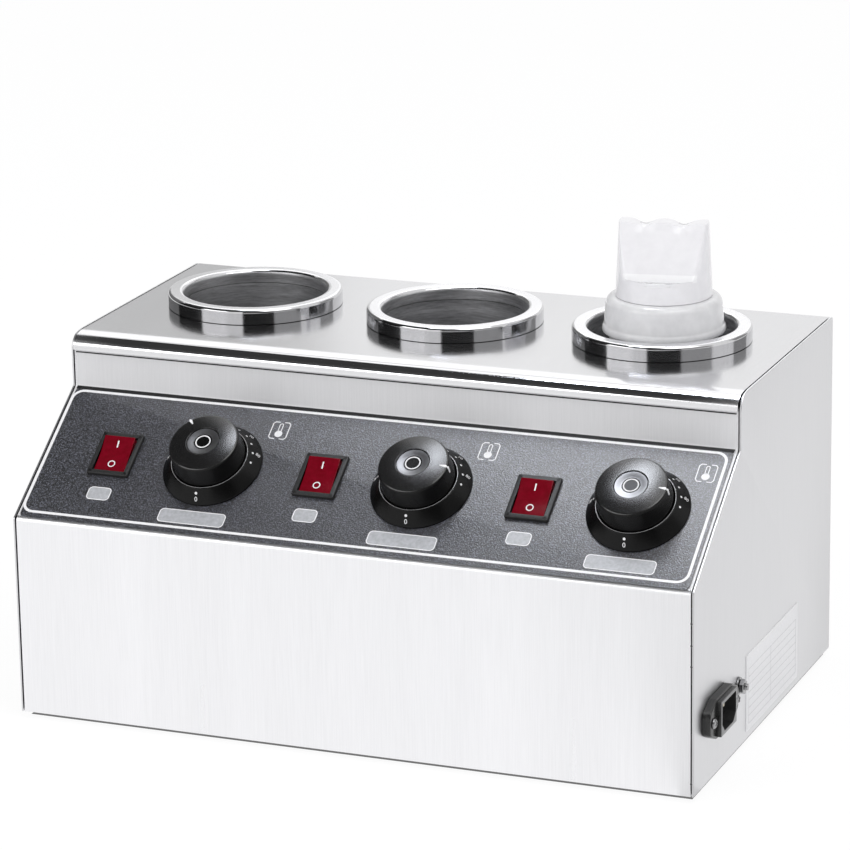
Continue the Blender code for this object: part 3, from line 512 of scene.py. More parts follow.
def makeSideSheet(side, outer, inward):
    node = f"{side}_side_panel"
    low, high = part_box(node)
    headY = body["front"] + panel["run"]
    outline = [
        (body["front"], body["floor"]),
        (body["front"], panel["foot"], 0.0010),
        (headY, panel["foot"] + panel["rise"], 0.0010),
        (headY, high.z - 0.0015, sheetMetal["noseRadius"]),
        (headY + sheetMetal["crown"] + sheetMetal["noseRadius"] * 0.65, high.z),
        (high.y, high.z, sheetMetal["rearBend"]),
        (high.y, body["floor"]),
    ]
    bm = plate(outline, outer + inward * sheetMetal["thick"], outer, sheetMetal["sideEdge"], across="yz")
    made = piece(f"{side}SideSheet", bm, steelSide, "cabinet", [node], 40)
    return made


makeFrontSheet()
makeTopCover()
makeSideSheet("left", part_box("left_side_panel")[0].x, 1)
makeSideSheet("right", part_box("right_side_panel")[1].x, -1)
print("cabinet sheets made")


# Wells and rim rings
wellSizes = {"bore": 0.04185, "wall": 0.0008, "floorRound": 0.0060, "lip": 0.0470, "ringRadius": 0.0509,
             "ringHeight": 0.0090, "outerEdge": 0.0020, "innerEdge": 0.0024}


def makeWell(number):
    pot = f"well_pot_{number}"
    potLow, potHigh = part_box(pot)
    middle = centreOf(pot)
    s = wellSizes
    top, base = potHigh.z, potLow.z
    profile = [
        (0, base + s["wall"]), (s["bore"], base + s["wall"], s["floorRound"]), (s["bore"], top),
        (s["lip"], top), (s["lip"], top - s["wall"]), (s["bore"] + s["wall"], top - s["wall"]),
        (s["bore"] + s["wall"], base, s["floorRound"]), (0, base),
    ]
    place = Matrix.Translation((middle.x, middle.y, 0))
    piece(f"wellPot_{number}", moved(turned(profile, 96), place), steelWell, "cabinet", [pot], 40)
    ring = f"well_ring_{number}"
    ringLow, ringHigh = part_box(ring)
    rebate = top + 0.0003
    band = [
        (s["ringRadius"], ringLow.z), (s["ringRadius"], ringHigh.z, s["outerEdge"]),
        (s["bore"], ringHigh.z, s["innerEdge"]), (s["bore"], rebate),
        (s["lip"] + 0.0003, rebate), (s["lip"] + 0.0003, ringLow.z),
    ]
    bm = moved(turned(band, 160, closed=True, hold=0.0003), place)
    # painted light: the ring's top faces take a lighter copy of the steel than its band
    for face in bm.faces:
        if face.normal.z > 0.9:
            face.material_index = 1
        elif face.calc_center_median().z > rebate and (face.calc_center_median().xy - middle.xy).length < s["bore"] + 0.0002:
            face.material_index = 2
    piece(f"rimRing_{number}", bm, [steelPolished, steelRingTopLit, steelWell], "cabinet", [ring], 40)


for number in (1, 2, 3):
    makeWell(number)
print("wells made")


# Printed film on the slope
film = {"thick": 0.0004, "corner": 0.0030, "borderWidth": 0.0016, "borderSide": 0.0026, "borderRight": 0.0050,
        "borderLow": 0.0048, "borderHigh": 0.0948, "borderCorner": 0.0070, "ink": 0.00005,
        "switchPatch": (0.0140, 0.0090, 0.0026), "knobPatch": (0.0400, 0.0095, 0.0026),
        "patchRim": 0.0005, "foldShadeWidth": 0.0022, "signSize": (0.0109, 0.0124), "signLine": 0.0006}


def frameOutline(width, height, line, radius, midA, midB, low, high):
    # A thin closed line: a rounded outline with a smaller one taken out of it
    bm = plate(box4(width, height, radius, midA, midB), low, high)
    top = [f for f in bm.faces if f.normal.z > 0.9]
    bottom = [f for f in bm.faces if f.normal.z < -0.9]
    inner = []
    for group in (top, bottom):
        bmesh.ops.inset_region(bm, faces=group, thickness=line, use_even_offset=True)
        inner.append([e for f in group for e in f.edges])
    bmesh.ops.delete(bm, geom=top + bottom, context="FACES_ONLY")
    bmesh.ops.bridge_loops(bm, edges=inner[0] + inner[1])
    bmesh.ops.recalc_face_normals(bm, faces=bm.faces)
    return bm


def makeFilm():
    low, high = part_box("control_overlay")
    length = math.hypot(panel["run"], panel["rise"])
    inkLow = panel["filmTop"] + 0.00002
    inkHigh = inkLow + film["ink"]
    sheetBm = plate(box4(high.x - low.x, length - 0.0028, film["corner"], (low.x + high.x) / 2, length / 2),
                    panel["filmTop"] - film["thick"], panel["filmTop"], 0.0001)
    piece("controlFilm", moved(sheetBm, slope), filmCharcoal, "cabinet", ["control_overlay"])
    # painted shade: a dark strip along the fold where the film meets the riser
    foldShadeStrip = box4(high.x - low.x, film["foldShadeWidth"], 0, (low.x + high.x) / 2, length - film["foldShadeWidth"] / 2 - 0.0002)
    piece("filmFoldShade", moved(plate(foldShadeStrip, panel["filmTop"] - film["thick"] / 2, inkHigh), slope), shadeBlack, "cabinet")

    left = body["midX"] - 0.2 + film["borderSide"]
    right = body["midX"] + 0.2 - film["borderRight"]
    midX = (left + right) / 2
    midV = (film["borderLow"] + film["borderHigh"]) / 2
    border = frameOutline(right - left, film["borderHigh"] - film["borderLow"], film["borderWidth"],
                          film["borderCorner"], midX, midV, inkLow, inkHigh)
    piece("borderLine", moved(border, slope), inkWhite, "cabinet")

    patches = bmesh.new()
    for number in (1, 2, 3):
        switchX = centreOf(f"switch_housing_{number}").x
        knobX = centreOf(f"dial_{number}").x
        for size, x, v in ((film["switchPatch"], switchX - 0.0006, 0.0228), (film["knobPatch"], knobX, 0.0130)):
            width, height, radius = size
            added(patches, frameOutline(width, height, film["patchRim"], radius, x, v, inkLow, inkHigh), 0)
            rim = 2 * film["patchRim"]
            added(patches, plate(box4(width - rim, height - rim, radius - film["patchRim"], x, v),
                                 inkLow, inkHigh - 0.00001), 1)
    piece("lightPatches", moved(patches, slope), [inkWhite, inkPatch], "cabinet")

    signs = bmesh.new()
    for number in (1, 2, 3):
        added(signs, makeHeatSign(centreOf(f"dial_{number}").x + 0.0303, 0.0794, inkLow, inkHigh))
    piece("heatSigns", moved(signs, slope), inkWhite, "cabinet")


def makeHeatSign(x, v, low, high):
    # A thermometer in a bracketed box
    width, height = film["signSize"]
    line = film["signLine"]
    bm = bmesh.new()
    arm = width * 0.26
    for side in (-1, 1):
        edge = side * (width - line) / 2
        added(bm, plate(box4(line, height - 0.0030, 0, x + edge, v), low, high))
        for end in (-1, 1):
            level = v + end * (height - line) / 2
            added(bm, plate(box4(arm, line, 0, x + side * (width / 2 - arm / 2 - 0.0012), level), low, high))
            corner = [(x + edge - side * line / 2, level - end * 0.0012), (x + edge + side * line / 2, level - end * 0.0012),
                      (x + side * (width / 2 - 0.0012), level + end * line / 2),
                      (x + side * (width / 2 - 0.0016), level - end * line / 2)]
            added(bm, plate(corner, low, high))
    bulb = bmesh.new()
    bmesh.ops.create_circle(bulb, cap_ends=True, segments=24, radius=0.0023)
    grown = bmesh.ops.extrude_face_region(bulb, geom=bulb.faces[:])
    bmesh.ops.translate(bulb, verts=[i for i in grown["geom"] if isinstance(i, bmesh.types.BMVert)], vec=(0, 0, high - low))
    added(bm, moved(bulb, Matrix.Translation((x, v - 0.0024, low))))
    added(bm, frameOutline(0.0024, 0.0062, 0.0005, 0.0011, x, v + 0.0020, low, high))
    bmesh.ops.recalc_face_normals(bm, faces=bm.faces)
    return bm


makeFilm()
print("film and prints made")


# Dials, knobs and badges
dialSizes = {"radius": 0.0287, "edge": 0.0008, "rim": 0.0224, "height": 0.0088, "well": 0.0216, "floor": 0.0015,
             "bush": 0.0066, "rimRound": 0.0005, "dotRing": 0.0243, "numberRing": 0.0266, "dot": 0.00065,
             "digit": 0.0021, "firstAngle": 180.0, "step": 16.25, "marks": 12,
             "words": {0: "30", 2: "40", 4: "50", 6: "60", 8: "70", 10: "80"}, "ink": 0.00005}
knobSizes = {"top": 0.0199, "waist": 0.0204, "foot": 0.0209, "height": 0.0230, "edge": 0.0012, "dish": 0.0014,
             "recess": 0.0094, "recessDeep": 0.0012, "low": 0.0034, "bore": 0.0033, "boreHigh": 0.0153,
             "pointerIn": 0.0155, "pointerWide": 0.0018, "pointerHigh": 0.0002, "pointerDrop": 0.0060}
badgeSizes = {"radius": 0.0090, "floor": 0.0052, "thick": 0.0008, "ring": 0.0044, "line": 0.0007, "raise": 0.0002}
pointerAngles = (132.0, 1.25, 1.25)


def coneFrame(angle, radius, lift):
    # The place on the dial's cone at an angle, with the print's x kept level on the panel
    s = dialSizes
    base = panel["filmTop"] + 0.0003
    lowZ, highZ = base + s["edge"], s["height"]
    share = (s["radius"] - radius) / (s["radius"] - s["rim"])
    turn = math.radians(angle)
    lean = math.atan2(highZ - lowZ, s["radius"] - s["rim"])
    normal = Vector((math.cos(turn) * math.sin(lean), math.sin(turn) * math.sin(lean), math.cos(lean)))
    across = (Vector((1, 0, 0)) - normal * normal.x).normalized()
    upward = normal.cross(across)
    spot = Vector((radius * math.cos(turn), radius * math.sin(turn), lowZ + share * (highZ - lowZ))) + normal * lift
    return Matrix(((across.x, upward.x, normal.x, spot.x), (across.y, upward.y, normal.y, spot.y),
                   (across.z, upward.z, normal.z, spot.z), (0, 0, 0, 1)))


def dotMesh(radius, thickness):
    bm = bmesh.new()
    bmesh.ops.create_circle(bm, cap_ends=True, segments=20, radius=radius)
    grown = bmesh.ops.extrude_face_region(bm, geom=bm.faces[:])
    lifted = [item for item in grown["geom"] if isinstance(item, bmesh.types.BMVert)]
    bmesh.ops.translate(bm, verts=lifted, vec=(0, 0, thickness))
    bmesh.ops.recalc_face_normals(bm, faces=bm.faces)
    return bm


def makeDial(number):
    s = dialSizes
    middle = centreOf(f"dial_{number}")
    place = slope @ Matrix.Translation((middle.x, panel["controlLine"], 0))
    base = panel["filmTop"] + 0.0003
    profile = [
        (s["bush"], base), (s["radius"], base, 0.0001), (s["radius"], base + s["edge"], 0.0004),
        (s["rim"], s["height"], s["rimRound"]), (s["well"], s["height"], 0.0003), (s["well"], base + s["floor"]),
        (s["bush"], base + s["floor"]),
    ]
    bm = turned(profile, 96, closed=True)
    # painted highlight: a thin light line on the flat top of the dial's rim
    for face in bm.faces:
        middle = face.calc_center_median()
        if middle.z > s["height"] - 0.00035 and middle.xy.length < s["rim"] - s["rimRound"] + 0.0001:
            face.material_index = 1
    piece(f"dial_{number}_cone", moved(bm, place), [blackSatin, dialRimHighlight], "cabinet", [f"dial_{number}"],
          24)
    marks = bmesh.new()
    lift = 0.00006
    for mark in range(s["marks"]):
        angle = s["firstAngle"] - mark * s["step"]
        added(marks, moved(dotMesh(s["dot"], s["ink"]), coneFrame(angle, s["dotRing"], lift)))
        if mark in s["words"]:
            word = wordMesh(s["words"][mark], s["digit"], s["ink"])
            added(marks, moved(word, coneFrame(angle, s["numberRing"], lift)))
    added(marks, moved(dotMesh(s["dot"] * 1.2, s["ink"]), coneFrame(270, s["dotRing"], lift)))
    added(marks, moved(wordMesh("0", s["digit"] * 1.25, s["ink"]), coneFrame(270, s["numberRing"], lift)))
    piece(f"dialMarks_{number}", moved(marks, place), inkWhite, "cabinet")


def makeKnob(number, side, pointer):
    s = knobSizes
    rides = f"{side}_knob"
    middle = centreOf(f"dial_{number}")
    place = slope @ Matrix.Translation((middle.x, panel["controlLine"], 0)) @ Matrix.Rotation(math.radians(pointer), 4, "Z")
    high = s["height"]
    floor = high - s["recessDeep"]
    profile = [
        (0, floor - 0.0002), (s["recess"], floor - 0.0002), (s["recess"], high, 0.0004),
        (s["top"], high - s["dish"], s["edge"]), (s["waist"], 0.0130, 0.0060), (s["foot"], 0.0085, 0.0008),
        (s["foot"], s["low"]), (s["bore"], s["low"]), (s["bore"], s["boreHigh"]), (0, s["boreHigh"]),
    ]
    bm = turned(profile, 96)
    # the small rib that runs down the side below the painted pointer
    for face in bm.faces:
        if face.normal.z > 0.6 and face.calc_center_median().xy.length > s["recess"]:
            face.material_index = 1
    rib = plate(box4(0.0014, 0.0011, 0.0003, s["top"] - 0.0001, 0.0), high - s["pointerDrop"], high - 0.0017, 0.0003)
    added(bm, rib, 2)
    piece(f"knobBody_{number}", moved(bm, place), [blackKnob, blackCone, inkWhite], rides, [f"knob_{number}"],
          30)
    inner, outer = s["pointerIn"] - s["recess"], s["top"] - s["recess"]
    wedge = [(inner, -0.00025), (outer - 0.0009, -0.0009, 0.0002), (outer, 0.0), (outer - 0.0009, 0.0009, 0.0002),
             (inner, 0.00025)]
    lean = Matrix.Rotation(math.atan2(s["dish"], outer), 4, "Y")
    paint = moved(plate(wedge, -0.0003, s["pointerHigh"], 0.0001), Matrix.Translation((s["recess"], 0, high)) @ lean)
    piece(f"knobPointer_{number}", moved(paint, place), inkWhite, rides)

    b = badgeSizes
    low, top = high - s["recessDeep"] + 0.0001, high - 0.0002
    floor = low + 0.0002
    disc = [(0, low), (b["radius"], low), (b["radius"], top - 0.0002, 0.0001), (b["floor"], floor, 0.0012), (0, floor)]
    bm = turned(disc, 96)
    for face in bm.faces:
        middle = face.calc_center_median()
        if middle.xy.length < b["floor"] + 0.0001 and middle.z > floor - 0.0001:
            face.material_index = 1
    outer, inner = b["ring"], b["ring"] - b["line"]
    line = [(outer, floor + 0.00004), (outer, floor + b["raise"], 0.00008), (inner, floor + b["raise"], 0.00008),
            (inner, floor + 0.00004)]
    added(bm, turned(line, 64, closed=True), 2)
    piece(f"knobInsert_{number}", moved(bm, place), [chromeDish, blackSatin, inkWhite], rides,
          [f"knob_badge_{number}"], 24)


for number, side in enumerate(sides, 1):
    makeDial(number)
    makeKnob(number, side, pointerAngles[number - 1])
print("dials and knobs made")


# Rocker switches
bezel = {"width": 0.0250, "length": 0.0297, "thick": 0.0020, "corner": 0.0007, "edge": 0.0004,
         "pocketWidth": 0.0198, "pocketLength": 0.0247, "pocketDeep": 0.0098}
rocker = {"width": 0.0188, "half": 0.0114, "crest": 0.0040, "dip": 0.0012, "skirt": 0.0015, "noseWidth": 0.0060,
          "noseDeep": 0.0052, "taper": 0.0010, "pivotDeep": 0.0030, "tilt": 9.0, "edge": 0.0005,
          "barLength": 0.0042, "barWidth": 0.0008, "ringOuter": 0.0022, "ringLine": 0.0006, "ink": 0.00005}


def makeSwitch(number, side):
    x = centreOf(f"switch_housing_{number}").x
    place = slope @ Matrix.Translation((x, panel["controlLine"], 0))
    low = panel["filmTop"] + 0.0003
    high = low + bezel["thick"]
    bm = plate(box4(bezel["width"], bezel["length"], bezel["corner"]), low, high, bezel["edge"])
    top = [f for f in bm.faces if f.normal.z > 0.99]
    rim = (bezel["width"] - 2 * bezel["edge"] - bezel["pocketWidth"]) / 2
    bmesh.ops.inset_region(bm, faces=top, thickness=rim, use_even_offset=True)
    for face in top:
        face.material_index = 1
    sunk = bmesh.ops.extrude_face_region(bm, geom=top)
    floor = [item for item in sunk["geom"] if isinstance(item, bmesh.types.BMVert)]
    bmesh.ops.translate(bm, verts=floor, vec=(0, 0, -bezel["pocketDeep"]))
    bmesh.ops.delete(bm, geom=top, context="FACES_ONLY")
    bmesh.ops.recalc_face_normals(bm, faces=bm.faces)
    # painted shade: the bezel's sides and its pocket take the near-black shade finish
    for face in bm.faces:
        if face.calc_center_median().z < low - 0.0001 or abs(face.normal.z) < 0.3:
            face.material_index = 1
    piece(f"switchBezel_{number}", moved(bm, place), [blackBezel, shadeBlack], "cabinet",
          [f"switch_housing_{number}"], 30)

    r = rocker
    tilted = place @ Matrix.Translation((0, 0, high - r["pivotDeep"])) @ Matrix.Rotation(math.radians(r["tilt"]), 4, "X")
    profile = [
        (-r["half"], r["crest"] - 0.0002, 0.0004), (-r["half"] * 0.5, r["crest"] - r["dip"] * 0.75), (0, r["crest"] - r["dip"]),
        (r["half"] * 0.5, r["crest"] - r["dip"] * 0.75), (r["half"], r["crest"] - 0.0002, 0.0004),
        (r["half"] - r["taper"], -r["skirt"]), (r["noseWidth"] / 2, -r["noseDeep"], 0.001),
        (-r["noseWidth"] / 2, -r["noseDeep"], 0.001), (-r["half"] + r["taper"], -r["skirt"]),
    ]
    bm = plate(profile, -r["width"] / 2, r["width"] / 2, 0, across="yz")
    ends = [e for e in bm.edges if abs(e.verts[0].co.x - e.verts[1].co.x) < 1e-7]
    bmesh.ops.bevel(bm, geom=ends, offset=r["edge"], offset_type="OFFSET", affect="EDGES", segments=3,
                    profile=0.5, material=-1)
    piece(f"rockerKey_{number}", moved(bm, tilted), redRocker, f"{side}_rocker", [f"rocker_{number}"],
          30)

    marks = bmesh.new()
    lean = math.atan2(r["dip"] * 0.25, r["half"] * 0.5)
    for v, shape in ((r["half"] * 0.56, "bar"), (-r["half"] * 0.56, "ring")):
        level = r["crest"] - r["dip"] * 0.70 + 0.00010
        lay = Matrix.Translation((0, v, level)) @ Matrix.Rotation(math.copysign(lean * 2.0, v), 4, "X")
        if shape == "bar":
            ink = plate(box4(r["barWidth"], r["barLength"], 0.0002), 0, r["ink"])
        else:
            ink = turned([(r["ringOuter"], 0), (r["ringOuter"], r["ink"]), (r["ringOuter"] - r["ringLine"], r["ink"]),
                          (r["ringOuter"] - r["ringLine"], 0)], 32, closed=True)
        added(marks, moved(ink, lay))
    piece(f"rockerMarks_{number}", moved(marks, tilted), inkWhite, f"{side}_rocker")


for number, side in enumerate(sides, 1):
    makeSwitch(number, side)
print("switches made")


# Power inlet, its pins and screws
inlet = {"gap": 0.0003, "length": 0.0500, "height": 0.0225, "thick": 0.0050, "endHeight": 0.0120, "edge": 0.0007,
         "shroudLength": 0.0272, "shroudHeight": 0.0203, "reach": 0.0075, "socketLength": 0.0240,
         "socketHeight": 0.0162, "socketDeep": 0.0160, "chamfer": 0.0045, "screwPitch": 0.0400,
         "pinWidth": 0.0040, "pinThick": 0.0020, "pinLength": 0.0110, "pinPitch": 0.0070, "pinLift": 0.0020,
         "headRadius": 0.0029, "headHeight": 0.0016, "slotWidth": 0.0007, "slotDeep": 0.0007}


def openEnds(bm, ways):
    # Takes the end faces off a plate that was raised along x
    ends = [f for f in bm.faces for way in ways if f.normal.x * way > 0.99]
    bmesh.ops.delete(bm, geom=ends, context="FACES_ONLY")
    return bm


def makeInlet():
    s = inlet
    low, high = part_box("power_inlet")
    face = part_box("right_side_panel")[1].x
    middle = centreOf("power_inlet")
    place = Matrix.Translation((face, middle.y, middle.z))
    half, end, waist, tall = s["length"] / 2, s["endHeight"] / 2, s["shroudLength"] / 2, s["height"] / 2
    outline = [(-waist, -tall, 0.001), (waist, -tall, 0.001), (half, -end, 0.003), (half, end, 0.003),
               (waist, tall, 0.001), (-waist, tall, 0.001), (-half, end, 0.003), (-half, -end, 0.003)]
    bm = openEnds(plate(outline, s["gap"], s["thick"], s["edge"], across="yz"), (-1, 1))
    collar = box4(s["shroudLength"], s["shroudHeight"], 0.0008)
    added(bm, openEnds(plate(collar, s["thick"], s["reach"], 0.0005, across="yz"), (-1, 1)))
    added(bm, openEnds(plate(collar, low.x - face, s["gap"], 0, across="yz"), (1,)))
    a, b, c = s["socketLength"] / 2, s["socketHeight"] / 2, s["chamfer"]
    mouth = openEnds(plate([(-a + c, -b, 0.0006), (a - c, -b, 0.0006), (a, -b + c, 0.0006), (a, b, 0.0006), (-a, b, 0.0006),
                            (-a, -b + c, 0.0006)], s["reach"] - s["socketDeep"], s["reach"], 0, across="yz"), (1,))
    # painted shade: the socket's inside takes the near-black shade finish, darker than the housing's own black plastic
    added(bm, mouth, 1)
    for level in (s["gap"], s["thick"], s["reach"]):
        rims = [e for e in bm.edges if e.is_boundary and all(abs(v.co.x - level) < 1e-6 for v in e.verts)]
        bmesh.ops.triangle_fill(bm, use_beauty=True, edges=rims, normal=(1, 0, 0))
    bmesh.ops.recalc_face_normals(bm, faces=bm.faces)
    # painted highlight: the collar's front face is a lighter grey than the housing
    for facet in bm.faces:
        if facet.normal.x > 0.9 and facet.calc_center_median().x > s["reach"] - 0.0001:
            facet.material_index = 2
    piece("inletHousing", moved(bm, place), [inletGrey, shadeBlack, rimHighlightGrey], "cabinet", ["power_inlet"], 30)

    floor = s["reach"] - s["socketDeep"]
    for name, (across, up) in {"line": (-1, 1), "neutral": (1, 1), "earth": (0, -1)}.items():
        blade = plate(box4(s["pinThick"], s["pinWidth"], 0.0003, across * s["pinPitch"], up * s["pinLift"]),
                      floor + 0.0003, floor + s["pinLength"], 0.0005, across="yz")
        piece(f"inletBlade_{name}", moved(blade, place), brassNickelled, "cabinet", [f"inlet_pin_{name}"])

    for number, way in ((1, -1), (2, 1)):
        profile = [(0, -0.0070), (0.0015, -0.0070), (0.0015, 0.0), (s["headRadius"], 0.0, 0.0002),
                   (s["headRadius"], s["headHeight"] * 0.5, 0.0007), (s["headRadius"] * 0.55, s["headHeight"], 0.0004),
                   (0, s["headHeight"])]
        head = turned(profile, 48)
        # painted shade: a thin dark cross laid on the head where its slots would lie in shade
        cross = bmesh.new()
        for turn in (0, 90):
            bar = plate(box4(s["headRadius"] * 1.15, s["slotWidth"], 0.0001), s["headHeight"] - 0.0002,
                        s["headHeight"] + 0.00004)
            added(cross, moved(bar, Matrix.Rotation(math.radians(turn + 20), 4, "Z")))
        added(head, cross, 1)
        spot = Matrix.Translation((face + s["thick"] + 0.0003, middle.y + way * s["screwPitch"] / 2, middle.z))
        piece(f"inletScrew_{number}", moved(head, spot @ Matrix.Rotation(math.pi / 2, 4, "Y")),
              [steelScrew, shadeBlack], "cabinet", [f"inlet_screw_{number}"], 30)


def makeSeamTacks():
    # Small flattened welds where the front sheet meets the right side sheet
    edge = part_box("right_side_panel")[1].x - sheetMetal["thick"] - seamTacks["inset"]
    bm = bmesh.new()
    for height in seamTacks["heights"]:
        r, flat = seamTacks["radius"], seamTacks["flat"]
        bead = turned([(0, -0.0002), (r, -0.0002), (r, 0), (r * 0.7, flat), (0, flat)], 16)
        lay = Matrix.Translation((edge, body["front"] + flat, height)) @ Matrix.Rotation(math.pi / 2, 4, "X")
        added(bm, moved(bead, lay))
    piece("seamTacks", bm, tackMetal, "cabinet")


stud = {"radius": 0.0020, "reach": 0.0058, "thread": 0.0007, "threadDeep": 0.00028, "headRadius": 0.0042,
        "headHeight": 0.0028, "washer": 0.0050, "washerThick": 0.0009, "nut": 0.0044, "nutHeight": 0.0026}


def makeStud():
    s = stud
    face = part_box("right_side_panel")[1].x
    middle = centreOf("earth_stud")
    place = Matrix.Translation((face, middle.y, middle.z)) @ Matrix.Rotation(math.pi / 2, 4, "Y")
    profile = [(0, -0.0013 - s["headHeight"]), (s["headRadius"], -0.0013 - s["headHeight"], 0.0004),
               (s["headRadius"], -0.0013), (s["radius"], -0.0013)]
    z = 0.0
    while z < s["reach"] - s["thread"]:
        profile += [(s["radius"] - s["threadDeep"], z), (s["radius"], z + s["thread"] / 2)]
        z += s["thread"]
    profile += [(s["radius"] - s["threadDeep"], s["reach"], 0.0001), (0, s["reach"])]
    piece("bondingStud", moved(turned(profile, 32), place), steelScrew, "cabinet", ["earth_stud"], 25)
    inner, gapHigh = s["radius"] + 0.0003, 0.0003 + s["washerThick"]
    ring = [(inner, 0.0003), (s["washer"], 0.0003), (s["washer"], gapHigh, 0.0003), (inner, gapHigh)]
    piece("studWasher", moved(turned(ring, 48, closed=True), place), steelScrew, "cabinet", ["earth_washer"])
    low, high = gapHigh + 0.0003, gapHigh + 0.0003 + s["nutHeight"]
    corner = 0.0004
    hexagon = [(inner, low), (s["nut"] - corner, low), (s["nut"], low + corner), (s["nut"], high - corner),
               (s["nut"] - corner, high), (inner, high)]
    piece("studNut", moved(turned(hexagon, 6, closed=True), place), steelScrew, "cabinet", ["earth_nut"], 20)


label = {"thick": 0.0002, "corner": 0.0010, "rows": 7, "margin": 0.0040, "line": 0.0003, "ink": 0.00004,
         "splitShare": 0.46, "headShare": 0.80}


def makeLabel():
    low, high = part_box("rating_label")
    middle = (low + high) / 2
    width, height = high.y - low.y, high.z - low.z
    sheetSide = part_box("right_side_panel")[1].x
    bm = plate(box4(width, height, label["corner"], middle.y, middle.z), sheetSide, high.x, 0.00015, across="yz")
    for face in bm.faces:
        face.material_index = 0
    rules = bmesh.new()
    ink = (high.x + 0.00001, high.x + 0.00001 + label["ink"])
    inside = width - 2 * label["margin"]
    for row in range(label["rows"] + 1):
        z = low.z + label["margin"] + (height * label["headShare"] - label["margin"]) * row / label["rows"]
        added(rules, plate(box4(inside, label["line"], 0, middle.y, z), *ink, across="yz"))
    tall = height * label["headShare"] - label["margin"]
    for share in (0.0, label["splitShare"], 1.0):
        y = low.y + label["margin"] + inside * share
        added(rules, plate(box4(label["line"], tall, 0, y, low.z + label["margin"] + tall / 2), *ink, across="yz"))
    added(bm, rules, 1)
    piece("ratingPlate", bm, [labelFilm, labelRule], "cabinet", ["rating_label"])


makeInlet()
makeSeamTacks()
makeStud()
makeLabel()
print("side fittings made")


# Bottle, screw cap and hood
bottleSizes = {"wall": 0.0014, "floorRound": 0.0050, "neck": 0.0290, "shoulder": 0.0120}
capSizes = {"bead": 0.0348, "beadHeight": 0.0040, "side": 0.0338, "top": 0.0325, "round": 0.0042, "wall": 0.0018,
            "height": 0.0205, "nozzleFoot": 0.0110, "nozzleTip": 0.0055, "bore": 0.0035, "nozzle": 0.0250}
hoodSizes = {"foot": 0.0273, "ledge": 0.0120, "ledgeDrop": 0.0030, "dip": 0.0015, "flatLow": 0.0166, "flatHigh": 0.0055, "topHalf": 0.0252,
             "wall": 0.0013, "valley": 0.0024, "valleyX": 0.0108, "valleyWide": 0.0050, "flute": 0.0016,
             "fluteFade": 0.0150, "turn": 10.0, "cornerRound": 0.0028, "levels": 26}


def makeBottle():
    low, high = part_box("bottle")
    middle = centreOf("bottle")
    place = Matrix.Translation((middle.x, middle.y, 0))
    s = bottleSizes
    radius = (high.x - low.x) / 2
    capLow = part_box("bottle_cap")[0].z
    shoulderTop = capLow - 0.0003
    bodyTop = shoulderTop - s["shoulder"]
    w = s["wall"]
    profile = [
        (0, low.z), (radius, low.z, s["floorRound"]), (radius, bodyTop, 0.006), (s["neck"], shoulderTop, 0.003),
        (s["neck"], high.z, 0.0004), (s["neck"] - w, high.z, 0.0004), (s["neck"] - w, shoulderTop - w, 0.003),
        (radius - w, bodyTop - w, 0.006), (radius - w, low.z + w, s["floorRound"]), (0, low.z + w),
    ]
    piece("sauceBottle", moved(turned(profile, 96), place), milkyPlastic, "sauce_bottle", ["bottle"], 40)

    c = capSizes
    top = capLow + c["height"]
    inner = s["neck"] + 0.0003
    ceiling = high.z + 0.0003
    profile = [
        (inner, capLow), (c["bead"], capLow, 0.0008), (c["bead"], capLow + c["beadHeight"] * 0.7, 0.0012),
        (c["side"], capLow + c["beadHeight"] * 1.15, 0.0006), (c["top"], top, c["round"]), (c["nozzleFoot"], top, 0.0015),
        (c["nozzleTip"], top + c["nozzle"], 0.0006), (c["bore"], top + c["nozzle"], 0.0004), (c["bore"], ceiling), (inner, ceiling),
    ]
    piece("screwCap", moved(turned(profile, 96, closed=True), place), milkyPlastic, "screw_cap", ["bottle_cap"],
          36)


def smoothMin(a, b, blend):
    near = max(blend - abs(a - b), 0.0) / blend
    return min(a, b) - near * near * blend / 4


